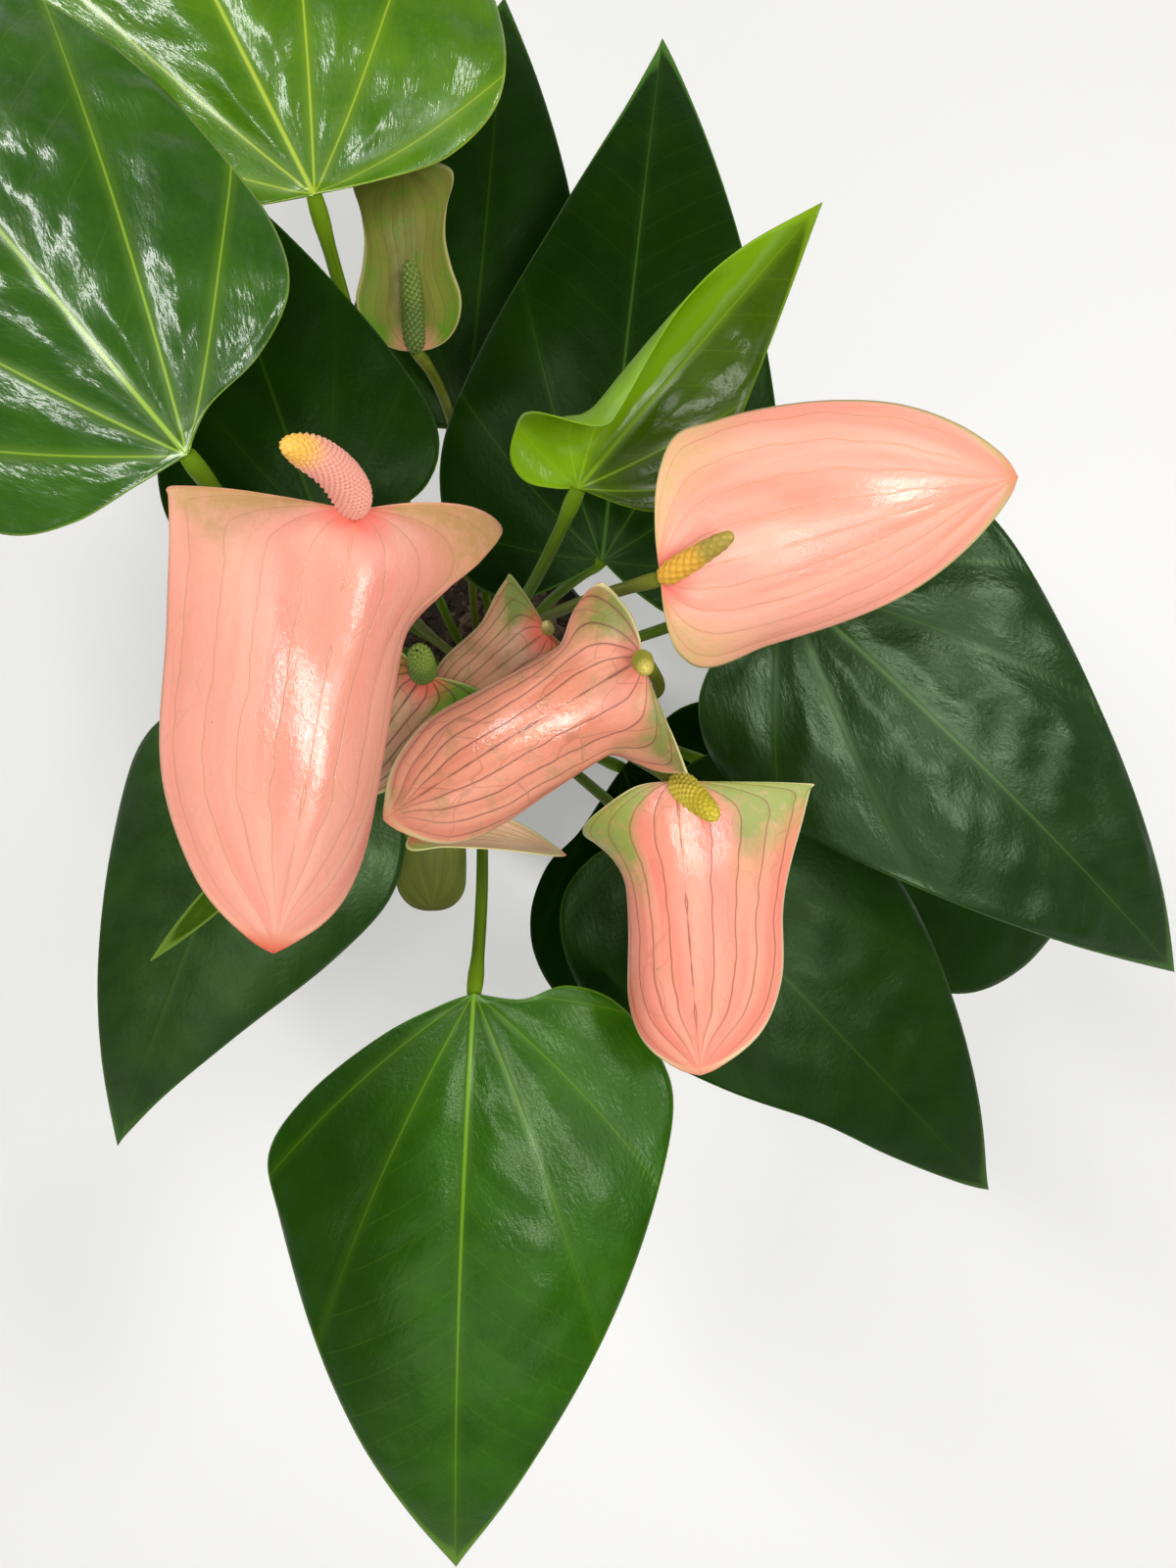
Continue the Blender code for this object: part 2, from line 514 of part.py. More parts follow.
def turn_about_z(made):
    """Turns a half profile round the Z axis into a closed body."""
    screw = made.modifiers.new("Turn", "SCREW")
    screw.steps = POT_SIDES
    screw.render_steps = POT_SIDES
    screw.use_merge_vertices = True
    screw.merge_threshold = 0.00001
    apply_modifiers(made)
    bm = bmesh.new()
    bm.from_mesh(made.data)
    bmesh.ops.remove_doubles(bm, verts=bm.verts, dist=1e-6)
    bmesh.ops.recalc_face_normals(bm, faces=bm.faces)
    bm.to_mesh(made.data)
    bm.free()


def make_medium(collection, cutters, roots):
    """The growing medium: it fills the pot, is lumpy on top, and has a hole for each stalk."""
    foot = POT_FLOOR + CLEARANCE
    profile = [(0.0, foot), (pot_inner_radius(foot) - CLEARANCE, foot),
               (pot_inner_radius(MEDIUM_TOP) - CLEARANCE, MEDIUM_TOP)]
    profile += [(radius, MEDIUM_TOP) for radius in MEDIUM_RINGS] + [(0.0, MEDIUM_TOP)]
    bm = bmesh.new()
    corners = [bm.verts.new((radius, 0, height)) for radius, height in profile]
    for start, end in zip(corners, corners[1:]):
        bm.edges.new((start, end))
    surface = material("bark_and_peat", (0.05, 0.032, 0.02), 0.95)
    medium = mesh_object("growing_medium", bm, collection, surface)
    turn_about_z(medium)
    for vertex in medium.data.vertices:
        inside_rim = vertex.co.xy.length < MEDIUM_RINGS[0] + CLEARANCE
        if inside_rim and vertex.co.z > MEDIUM_TOP - CLEARANCE:
            ripple = math.sin(vertex.co.x * MEDIUM_LUMPS_ACROSS)
            ripple *= math.cos(vertex.co.y * MEDIUM_LUMPS_ALONG)
            vertex.co.z += MEDIUM_RELIEF * ripple
    bm = bmesh.new()
    for root, radius in roots:
        depth = STALK_DEPTH + STALK_HOLE_RUN_OUT
        place = Vector((*root, MEDIUM_TOP - STALK_DEPTH + depth / 2))
        hole_radius = (radius + CLEARANCE) / math.cos(math.pi / STALK_HOLE_SIDES)
        bmesh.ops.create_cone(bm, cap_ends=True, segments=STALK_HOLE_SIDES, radius1=hole_radius,
                              radius2=hole_radius, depth=depth, matrix=Matrix.Translation(place))
    boolean(medium, "DIFFERENCE", mesh_object("hole_cutter", bm, cutters))


def make_leaf(name, stalk, shape, collection, cutters, surface):
    """A leaf: its blade, with the petiole joined to it."""
    blade = Blade(**shape)
    leaf = blade_object(name, blade, LEAF_COLUMNS, LEAF_ROWS, LEAF_THICKNESS, collection, surface)
    path = stalk_path(blade.base, **stalk)
    tube = stalk_mesh(name + "_petiole", path, PETIOLE_RADIUS, PETIOLE_TOP_RADIUS)
    boolean(leaf, "UNION", mesh_object(name + "_petiole", tube, cutters, surface))


def make_spadix(name, base, normal, collection, surface, axis, radius, bend=(0, 0, 0)):
    """A spadix: a blunt tapered spike pebbled with florets, cut flat where the spathe holds it.

    Its middle stands off the straight axis by the bend.
    """
    length = Vector(axis).length
    bm = bmesh.new()
    bmesh.ops.create_uvsphere(bm, u_segments=SPADIX_SIDES, v_segments=SPADIX_RINGS, radius=1)
    turn = Vector((0, 0, 1)).rotation_difference(Vector(axis).normalized()).to_matrix()
    for vertex in bm.verts:
        share = math.acos(min(max(-vertex.co.z, -1), 1)) / math.pi
        angle = math.atan2(vertex.co.y, vertex.co.x)
        ring = round(share * SPADIX_RINGS)
        column = round(angle / math.tau * SPADIX_SIDES)
        pebble = FLORET_RELIEF * (1 if (ring + column) % 2 else -1)
        girth = radius * (1 - abs(2 * share - 1) ** 4) ** 0.5 * (1.05 - 0.35 * share) * (1 + pebble)
        spot = Vector((math.cos(angle) * girth, math.sin(angle) * girth, share * length))
        vertex.co = Vector(base) + turn @ spot + Vector(bend) * 4 * share * (1 - share)
    cut_flat(bm, Vector(base) + normal * (SPATHE_THICKNESS / 2 + CLEARANCE), -normal)
    mesh_object(name, bm, collection, surface)


def make_bloom(number, stalk, shape, spike, collection, surfaces):
    """A bloom: the stem below the spathe and the spadix on it, each its own solid."""
    spathe = Blade(**shape)
    normal = spathe.normal()
    blade_object("spathe_" + number, spathe, SPATHE_COLUMNS, SPATHE_ROWS, SPATHE_THICKNESS,
                 collection, surfaces["spathe"])
    path = stalk_path(spathe.base, **stalk)
    tube = stalk_mesh("stem", path, BLOOM_STEM_RADIUS, BLOOM_STEM_RADIUS)
    cut_flat(tube, spathe.base - normal * (SPATHE_THICKNESS / 2 + CLEARANCE), normal)
    mesh_object("flower_stem_" + number, tube, collection, surfaces["stem"])
    make_spadix("spadix_" + number, spathe.base, normal, collection=collection,
                surface=surfaces["spadix"], **spike)


def main():
    """Builds the pot, the medium, the leaves and the blooms in one collection."""
    for old in list(bpy.data.objects):
        bpy.data.objects.remove(old)
    collection = bpy.data.collections.new("potted_anthurium")
    cutters = bpy.data.collections.new("cutters")
    bpy.context.scene.collection.children.link(collection)
    bpy.context.scene.collection.children.link(cutters)
    leaf_surface = material("leaf_green", (0.045, 0.16, 0.03), 0.32)
    surfaces = {
        "spathe": material("spathe_salmon", (0.86, 0.36, 0.26), 0.35),
        "spadix": material("spadix_yellow", (0.72, 0.62, 0.14), 0.6),
        "stem": material("stem_green", (0.16, 0.24, 0.05), 0.45),
    }
    make_pot(collection, cutters)
    roots = [(stalk["root"], PETIOLE_RADIUS) for _, stalk, _ in LEAVES]
    roots += [(stalk["root"], BLOOM_STEM_RADIUS) for _, stalk, _, _ in BLOOMS]
    make_medium(collection, cutters, roots)
    for name, stalk, shape in LEAVES:
        make_leaf(name, stalk, shape, collection, cutters, leaf_surface)
    for number, stalk, shape, spike in BLOOMS:
        make_bloom(number, stalk, shape, spike, collection, surfaces)


main()
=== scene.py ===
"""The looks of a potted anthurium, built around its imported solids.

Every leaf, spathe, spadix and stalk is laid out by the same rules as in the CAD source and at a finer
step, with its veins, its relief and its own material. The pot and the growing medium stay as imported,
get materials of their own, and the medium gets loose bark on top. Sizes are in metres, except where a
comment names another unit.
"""
import math
from types import SimpleNamespace

import bpy
import numpy as np
from mathutils import Matrix, Vector


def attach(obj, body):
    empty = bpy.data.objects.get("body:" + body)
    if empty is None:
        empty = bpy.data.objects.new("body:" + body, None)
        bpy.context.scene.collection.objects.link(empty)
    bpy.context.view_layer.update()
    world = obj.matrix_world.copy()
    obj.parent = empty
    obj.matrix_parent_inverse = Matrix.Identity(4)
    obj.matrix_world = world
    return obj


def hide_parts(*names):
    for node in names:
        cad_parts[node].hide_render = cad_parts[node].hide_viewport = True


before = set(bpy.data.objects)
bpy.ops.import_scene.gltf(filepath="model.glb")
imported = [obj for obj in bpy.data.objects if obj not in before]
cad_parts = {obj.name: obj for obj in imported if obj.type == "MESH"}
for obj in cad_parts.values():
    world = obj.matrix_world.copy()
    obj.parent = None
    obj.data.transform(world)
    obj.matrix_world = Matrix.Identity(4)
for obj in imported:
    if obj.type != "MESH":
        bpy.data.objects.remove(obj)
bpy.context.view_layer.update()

MM = 0.001
TINY = 1e-12
BODY = "root"
UP = np.array((0.0, 0.0, 1.0))

# Camera: it looks straight down, as in the photograph
CAMERA_PLACE = (0.060, -0.059, 0.760)
FRAME_LONG_SIDE = 1600
FOCAL_IN_PIXELS = 1202
SENSOR = 36.0

# Lamps: name, place, width and length, turn in degrees, power and colour
LAMP_AIM = (0.05, -0.05, 0.38)
LAMPS = (
    ("strip", (0.26, -0.38, 1.90), (0.055, 1.15), 13, 13.0, (1.0, 0.98, 0.95)),
    ("left", (-1.00, 0.75, 1.90), (0.20, 1.50), 0, 18.0, (1.0, 0.99, 0.97)),
    ("right", (1.22, 0.38, 1.90), (0.55, 0.36), 0, 11.0, (1.0, 0.98, 0.95)),
    ("front", (-0.10, -1.60, 1.90), (1.60, 0.90), 0, 7.0, (1.0, 0.99, 0.97)),
    ("side", (0.80, -0.42, 1.90), (0.60, 0.60), 0, 3.2, (0.95, 0.98, 1.0)),
)

# World and floor
WORLD_COLOUR = (0.97, 0.98, 1.0, 1.0)
WORLD_STRENGTH = 0.13
HORIZON_STRENGTH = 0.65
HORIZON_FADE = 0.50
FLOOR_COLOUR = (0.93, 0.93, 0.92)
FLOOR_REACH = 6

# Pot, growing medium and bark: colours as a screen shows them, but for the pot's, which are linear
POT_BLACK = (0.012, 0.012, 0.013)
POT_GREY = (0.022, 0.022, 0.024)
MEDIUM_TOP = 0.110
MEDIUM_RADIUS = 0.060
PEAT_TONES = ((30, 23, 17), (52, 38, 27), (72, 54, 38))
BARK_CHIPS = 420
CHIP_SIZES = ((1.6, 5.0), (1.2, 3.2), (0.5, 1.3))
CHIP_TILT = 0.28
CHIP_UNEVENNESS = (0.65, 1.15)
CHIP_RISE = 1.8
CHIP_WEAR = 0.25 * MM
CHIP_GRAIN = 420.0
PEAT_GRAIN = 260.0
CHIP_TONES = (
    ((52, 36, 26), (84, 60, 42), (112, 84, 60)),
    ((34, 26, 20), (58, 42, 30), (80, 60, 44)),
    ((74, 56, 42), (104, 82, 62), (136, 112, 88)),
)

# Stalks
STALK_DEPTH = 0.028
CLEARANCE = 0.0003
PETIOLE_RADIUS = 0.0021
PETIOLE_TOP_RADIUS = 0.0027
BLOOM_STEM_RADIUS = 0.0019
STALK_RINGS = 72
STALK_SIDES = 16
STALK_GROOVE = 0.015
SWELLING_PLACE = 0.006
FOOT_SWELLING = 0.10
FOOT_HEIGHT = 0.03
BLOOM_STEM_FLARE = 1.15
PETIOLE_GREEN = (92, 122, 18)
BLOOM_STEM_GREEN = (104, 112, 34)
STALK_GLINT = (0.7, 1.0, 0.45)

# Sheets, and how much thinner and how suddenly they end
LEAF_THICKNESS = 0.0009
SPATHE_THICKNESS = 0.0008
EDGE_THINNING = 0.55
EDGE_SHARPNESS = 10

# Veins of a leaf: those that fan out, by their angles from the midrib in degrees, and the side veins
BASAL_VEINS = (27, 54, 92)
BASAL_VEIN_CURVE = (0.34, 0.34, 0.30)
SIDE_VEIN_SPACING = 13.0
SIDE_VEIN_SLANT = 0.85
SIDE_VEIN_CURVE = 0.0035

# Relief of a leaf: ribs and puffed stretches in millimetres, and the sizes of its random features
RIB_WIDTH = 1.6
RIB_HEIGHT = 0.30
RIB_TAPER = 0.7
PUFF_WIDTH = 7.0
PUFF_LEVEL = 0.6
PLEAT_SHARE = 0.30
SWELL_SHARE = 0.35
SWELL_SIZE = 0.026
CREASE_SIZE = 0.0085
WRINKLE_SIZE = 0.0045

# Spathes, with their relief in millimetres, and spadices, whose florets are measured in spacings
SPATHE_VEINS = 4.6
GROOVE_WIDTH = 1.8
GROOVE_DEPTH = 0.14
SPATHE_SWELL = 0.07
SPATHE_SWELL_SIZE = 0.030
SPATHE_GRAIN = 0.015
SPATHE_GRAIN_SIZE = 0.005
FULL_RELIEF_WIDTH = 0.04
SPECK_BROWN = (104, 66, 44)
MATT_WAX = 0.30
SPADIX_STEP = 0.28 * MM
SPADIX_BLUNTNESS = 5
SPADIX_FOOT = 1.05
SPADIX_TAPER = 0.35
FLORET_PACKING = 0.866
FLORET_REACH = 0.62
FLORET_ROUNDNESS = 0.6
NIB_WIDTH = 0.16
NIB_HEIGHT = 0.35
GOLDEN_ANGLE = math.pi * (3 - math.sqrt(5))

# Gloss of the leaves' wax, and the depth of the finest grain
WAX_ROUGHNESS = 0.16
LEAF_BUMP = 0.0006
UNDERSIDE_BUMP = 0.0001
SPATHE_BUMP = 0.00014
STALK_BUMP = 0.00015
POT_BUMP = 0.00005
BARK_BUMP = 0.0008

# The looks below that are colours, as a screen shows them
COLOUR_KEYS = {"deep", "fresh", "vein", "under", "under_base", "tint", "body", "lobe", "blush", "tip",
               "edge", "low", "high", "gap"}

# Half outlines from the point of the stalk round to the tip, between the ends that all share:
# places across in percent of the half width and along in thousandths of the length
WIDENING = 1.26
MARGINS = dict(
    heart=((20, -45), (50, -85), (80, -55), (97, 55), (100, 190), (86, 365), (60, 570), (32, 780),
        (9, 940)),
    tapered=((22, -5), (50, 0), (78, 30), (96, 100), (100, 200), (88, 360), (63, 565), (33, 780),
        (9, 940)),
    broad=((22, -5), (50, 0), (78, 35), (95, 115), (100, 225), (92, 385), (70, 590), (38, 795),
        (10, 945)),
    acute=((20, -45), (50, -85), (80, -55), (97, 55), (100, 190), (82, 370), (48, 590), (20, 790),
        (4, 945)),
    lopsided=((19, 30), (50, 42), (78, 85), (91, 175), (94, 310), (90, 460), (73, 665), (44, 840),
        (13, 960)),
    kite=((16, 20), (45, 70), (82, 165), (103, 265), (95, 370), (76, 550), (53, 705), (25, 860),
        (6, 965)),
    shouldered=((24, 6), (46, -18), (72, 4), (96, 85), (104, 180), (91, 370), (70, 555), (38, 760),
        (10, 930)),
    cordate=((33, -34), (66, -18), (90, 60), (101, 170), (99, 340), (88, 480), (67, 620), (35, 805),
        (8, 950)),
    scooped=((33, -34), (66, -18), (90, 60), (101, 170), (94, 300), (76, 430), (48, 590), (31, 750),
        (10, 930)),
    blunt=((30, -20), (62, -10), (88, 70), (98, 220), (100, 420), (95, 620), (83, 790), (52, 900),
        (17, 965)),
    swung=((19, 60), (45, 140), (70, 195), (92, 310), (102, 450), (97, 600), (76, 760), (42, 890),
        (13, 970)),
    round=((25, -10), (55, -10), (82, 30), (97, 130), (100, 280), (93, 460), (73, 660), (42, 840),
        (13, 960)),
    cloak=((36, -12), (70, -18), (98, -12), (104, 2), (102, 28), (98, 130), (96, 290), (95, 490),
        (83, 690), (52, 870), (17, 970)),
    peaked=((36, -4), (70, -6), (94, 0), (103, 7), (94, 28), (76, 100), (67, 250), (70, 460), (70, 680),
        (42, 870), (12, 965)),
    curled=((18, -40), (42, -58), (68, -44), (86, -20), (89, 0), (83, 26), (74, 100), (67, 250),
        (70, 460), (72, 680), (45, 870), (14, 965)),
    tent=((40, -16), (80, -26), (112, -24), (118, -10), (114, 20), (107, 130), (98, 290), (91, 480),
        (86, 700), (62, 870), (20, 970)),
    slant=((26, -14), (51, -10), (70, 35), (77, 130), (76, 280), (70, 460), (57, 650), (36, 820),
        (13, 955)),
    lobed=((34, -30), (68, 5), (92, 45), (102, 85), (96, 130), (84, 210), (76, 320), (74, 460),
        (77, 600), (77, 750), (57, 890), (20, 975)),
    spoon=((30, -20), (62, -10), (88, 70), (98, 220), (100, 440), (98, 660), (90, 840), (64, 950),
        (30, 995)),
    shield=((32, -25), (66, -40), (98, 0), (93, 110), (93, 260), (100, 460), (95, 660), (68, 850),
        (24, 965)),
    oval=((30, -5), (62, 15), (90, 80), (100, 200), (99, 360), (90, 540), (72, 720), (46, 860),
        (17, 965)),
    flared=((34, 10), (70, 65), (97, 170), (105, 290), (88, 430), (78, 580), (84, 740), (100, 880),
        (96, 960), (46, 990)),
)
MARGINS["wide_acute"] = [(across * WIDENING, along) for across, along in MARGINS["acute"]]

# Leaves: name, stalk and blade, as in the CAD source, in millimetres and degrees
LEAVES = (
    ("leaf_01_front", dict(root=(4, -26), lean=0.9, heading=-92), dict(
        base=(24, -125, 388), tip=(15, -326, 358), half_width=64, margin="kite",
        left_margin="shouldered", left=(-22, -20, -16), right=(-30, -22, -16), wave=(2, 2.5, 0.6))),
    ("leaf_02_upper_left", dict(root=(-12, 0), lean=0.5, heading=115), dict(
        base=(-40, 23, 466), tip=(-159, 167, 434), half_width=60, margin="lopsided",
        left_margin="round", left=(-18, -26, -26), right=(-16, -22, -20), forward=(0.10, 0.0),
        wave=(2, 3.0, 1.2))),
    ("leaf_03_top", dict(root=(-5, 11), lean=0.9, heading=100), dict(
        base=(-19, 111, 420), tip=(-117, 304, 396), half_width=76, margin="round",
        left=(-14, -20, -22), right=(-16, -20, -22), forward=(0.15, -0.04), wave=(3.5, 3.5, 0.2))),
    ("leaf_04_back_low", dict(root=(10, 23), lean=0.5), dict(
        base=(12, 80, 298), tip=(26, 260, 282), half_width=48, margin="tapered", roll=10, droop=38,
        left=(-14, -22, -20), right=(-18, -24, -20), wave=(1.8, 2.5, 2.0))),
    ("leaf_05_left", dict(root=(-17, 14), lean=0.3, heading=120), dict(
        base=(-19, 15.5, 408), tip=(-60.5, 134, 398), half_width=43, margin="tapered", roll=2,
        droop=36, left=(-14, -24, -20), right=(-14, -20, -20), wave=(1.8, 2.5, 1.0))),
    ("leaf_06_back", dict(root=(25, 9), lean=0.5), dict(
        base=(65, 21, 338), tip=(88, 222, 316), half_width=62, margin="heart", left_margin="acute",
        droop=38, left=(-14, -22, -18), right=(-18, -22, -18), wave=(2.2, 3.0, 0.0))),
    ("leaf_07_young", dict(root=(8, 8), lean=0.8, heading=60), dict(
        base=(57, 30, 405), tip=(127, 107, 424), half_width=28, margin="tapered", left_margin="heart",
        neck=(0.2, 0.2), droop=8, left=(12, 172, 168), right=(0, -12, -20), forward=(0.0, 0.14),
        wave=(0.6, 2.5, 0.4))),
    ("leaf_08_right", dict(root=(26, -2), lean=0.9, heading=20), dict(
        base=(122, 6, 385), tip=(266, -125, 346), half_width=60, margin="tapered", roll=4,
        left=(-12, -20, -20), right=(-26, -26, -18), wave=(2.2, 2.5, 1.6))),
    ("leaf_09_lower_right", dict(root=(11, -17), lean=0.7), dict(
        base=(80, -76, 350), tip=(215, -216, 304), half_width=57, margin="scooped",
        left_margin="cordate", left=(-14, -22, -20), right=(-18, -22, -20), wave=(2, 2.5, 2.6))),
    ("leaf_10_right_low", dict(root=(25, -12), lean=1.3), dict(
        base=(108, -52, 306), tip=(265, -113, 262), half_width=58, margin="blunt",
        left_margin="tapered", roll=-4, left=(-16, -22, -20), right=(-16, -22, -20),
        wave=(1.8, 2.5, 0.9))),
    ("leaf_11_lower_left", dict(root=(-17, -14), lean=0.5), dict(
        base=(-46, -42, 352), tip=(-118, -196, 314), half_width=46, margin="tapered",
        left_margin="wide_acute", roll=-4, droop=38, left=(-14, -24, -18), right=(-22, -26, -18),
        forward=(0.12, 0.0), wave=(2, 2.5, 1.3))),
    ("leaf_12_front_low", dict(root=(14, -26), lean=1.0), dict(
        base=(74.5, -52.5, 275), tip=(120, -186, 232), half_width=62, margin="swung",
        left_margin="heart", droop=30, left=(-16, -24, -20), right=(-16, -24, -20),
        forward=(-0.06, 0.0), wave=(1, 2.5, 1.0))),
    ("leaf_13_furled", dict(root=(-8, -13), lean=0.5), dict(
        base=(-18, -58, 376), tip=(-83, -117, 376), half_width=11, margin="broad", droop=14, fold=36,
        left=(40, 60, 50), right=(40, 60, 50))),
)

# Blooms: number, stalk, spathe, and the spadix with its axis from base to tip and its radius, in
# millimetres and degrees
BLOOMS = (
    ("01", dict(root=(0, 1), lean=0.15), dict(
        base=(5, 6, 480), tip=(-18, -101, 468), half_width=42, margin="cloak", left_margin="peaked",
        neck=(0.24, 0.50), roll=-14, droop=34, left=(-50, -140, -130), right=(-14, -44, -56),
        forward=(-0.18, 0.05)),
     dict(axis=(-6.8, 4, 40), radius=4.7, bend=(2.2, 2.2, 0))),
    ("02", dict(root=(17, 1), lean=0.45), dict(
        base=(79, -5, 450), tip=(176, 24, 442), half_width=41, margin="slant", left_margin="oval",
        neck=(0.25, 0.25), roll=14, droop=36, left=(-30, -54, -56), right=(-50, -74, -50),
        forward=(0.08, 0.00)),
     dict(axis=(17, 8, 18), radius=3.2)),
    ("03", dict(root=(10.5, -8), lean=0.5), dict(
        base=(85.5, -58, 418), tip=(94, -147, 404), half_width=34, margin="lobed", left_margin="tent",
        neck=(0.50, 0.36), roll=4, droop=30, left=(-8, -46, -50), right=(-24, -110, -84),
        forward=(0.09, 0.12)),
     dict(axis=(9, -10, 24), radius=3.9)),
    ("04", dict(root=(18, -7), lean=0.4, heading=150), dict(
        base=(74.5, -25, 440), tip=(3, -69, 432), half_width=28, margin="curled", left_margin="tent",
        neck=(0.24, 0.20), roll=2, droop=34, left=(20, -96, -80), right=(64, -92, -60),
        forward=(0.12, 0.06)),
     dict(axis=(0, -5, 20), radius=2.7)),
    ("05", dict(root=(8, 0.5), lean=0.4), dict(
        base=(47.5, -11, 390), tip=(10, -39, 380), half_width=19, margin="tent", left_margin="shield",
        neck=(0.25, 0.40), roll=4, droop=30, left=(-14, -70, -50), right=(-4, -50, -50)),
     dict(axis=(0, 0, 15), radius=2)),
    ("06", dict(root=(-3, -7), lean=0.3, heading=-30), dict(
        base=(10, -26, 402), tip=(-17, -62, 390), half_width=16, margin="shield", left_margin="tent",
        neck=(0.40, 0.25), roll=-4, droop=30, left=(-14, -50, -50), right=(-14, -70, -50),
        forward=(-0.16, 0.00)),
     dict(axis=(1.3, 5.5, 18), radius=4)),
    ("07", dict(root=(3, -16), lean=0.5, heading=-110), dict(
        base=(3.5, -75, 385), tip=(53, -82, 380), half_width=15, margin="slant", neck=(0.25, 0.25),
        roll=-60, droop=24, left=(30, 70, 70), right=(10, 34, 60)),
     dict(axis=(9, 10, 4), radius=2)),
    ("08", dict(root=(2, 17), lean=0.2, heading=180), dict(
        base=(3, 84, 371), tip=(1, 138, 390), half_width=16.5, margin="flared", neck=(0.25, 0.25),
        droop=34, left=(14, 24, -30), right=(14, 24, -30)),
     dict(axis=(1, 22, 18), radius=3.3)),
    ("09", dict(root=(-9, -22), lean=0.3), dict(
        base=(1, -60, 330), tip=(1.5, -106.5, 318), half_width=14, margin="spoon", neck=(0.25, 0.25),
        droop=24, left=(-10, -30, -20), right=(-10, -30, -20)),
     dict(axis=(0, -8, 14), radius=2.2)),
)

# How each kind of leaf looks: colours, gloss, and the height of its relief in millimetres
# tint is painted light and shade on one half of a blade: its colour, how much of it, and across which
# millimetres it comes in
DARK_LEAF = dict(deep=(10, 36, 0), fresh=(22, 52, 2), vein=(62, 100, 16), rib_share=0.36,
    fan_share=0.16, fan_reach=0.50, fine_share=0.05, under=(54, 84, 24), roughness=0.40, shine=0.15,
    glint=(0.65, 1.0, 0.50), wax=0.0, grain=0.25, tint=(10, 36, 0), tint_share=0.0, tint_from=(0, 40),
    quilt=0.45, crinkle=0.03, crease=0.10, size=(56, 72))
GLOSSY_LEAF = dict(deep=(22, 64, 0), fresh=(54, 98, 0), vein=(150, 184, 48), rib_share=0.85,
    fan_share=0.75, fan_reach=0.90, fine_share=0.05, under=(96, 136, 46), roughness=0.38, shine=0.32,
    glint=(0.85, 1.0, 0.85), wax=0.80, grain=0.10, tint=(22, 64, 0), tint_share=0.0, tint_from=(0, 40),
    quilt=1.6, crinkle=0.10, crease=0.22, size=(104, 132))
LEAF_LOOKS = {
    # leaf_01: painted shade, a darker green over one half of the blade
    "leaf_01_front": dict(DARK_LEAF, deep=(22, 60, 0), fresh=(48, 94, 0), tint=(14, 44, 0),
        tint_share=0.75, vein=(112, 154, 24), rib_share=0.85, fan_share=0.40, fine_share=0.08,
        roughness=0.34, shine=0.26, wax=0.08, quilt=0.7, crinkle=0.05, crease=0.16, size=(80, 104)),
    "leaf_02_upper_left": GLOSSY_LEAF,
    "leaf_03_top": dict(GLOSSY_LEAF, deep=(42, 88, 0), fresh=(90, 134, 0), vein=(176, 198, 56),
        crinkle=0.12, crease=0.24),
    "leaf_06_back": dict(DARK_LEAF, vein=(98, 150, 52), fan_share=0.25, size=(72, 96)),
    # leaf_07: painted light, a paler green over its left half for light shining through the leaf
    "leaf_07_young": dict(deep=(42, 64, 0), fresh=(68, 96, 0), vein=(136, 172, 30), rib_share=0.5,
        fan_share=0.6, fan_reach=0.7, fine_share=0.1, under=(118, 162, 10), roughness=0.34, shine=0.08,
        glint=(0.9, 1.0, 0.7), wax=0.20, grain=0.1, tint=(118, 162, 10), tint_share=0.8,
        tint_from=(3, -6), quilt=0.7, crinkle=0.04, crease=0.05, size=(72, 84)),
    "leaf_09_lower_right": dict(DARK_LEAF, shine=0.24, quilt=0.8),
    "leaf_12_front_low": dict(DARK_LEAF, deep=(6, 30, 0), fresh=(14, 44, 0), glint=(0.55, 1.0, 0.35),
        shine=0.03),
    "leaf_11_lower_left": dict(DARK_LEAF, shine=0.60, fresh=(34, 64, 10)),
    "leaf_08_right": dict(DARK_LEAF, vein=(76, 112, 44), rib_share=0.6, fan_share=0.3, roughness=0.36,
        shine=0.5, glint=(0.68, 1.0, 0.60), quilt=1.1, crease=0.20, size=(72, 96)),
    "leaf_13_furled": dict(DARK_LEAF, deep=(46, 72, 10), fresh=(74, 102, 22), vein=(130, 160, 60),
        under=(92, 126, 40), quilt=0.0, size=(32, 56)),
}

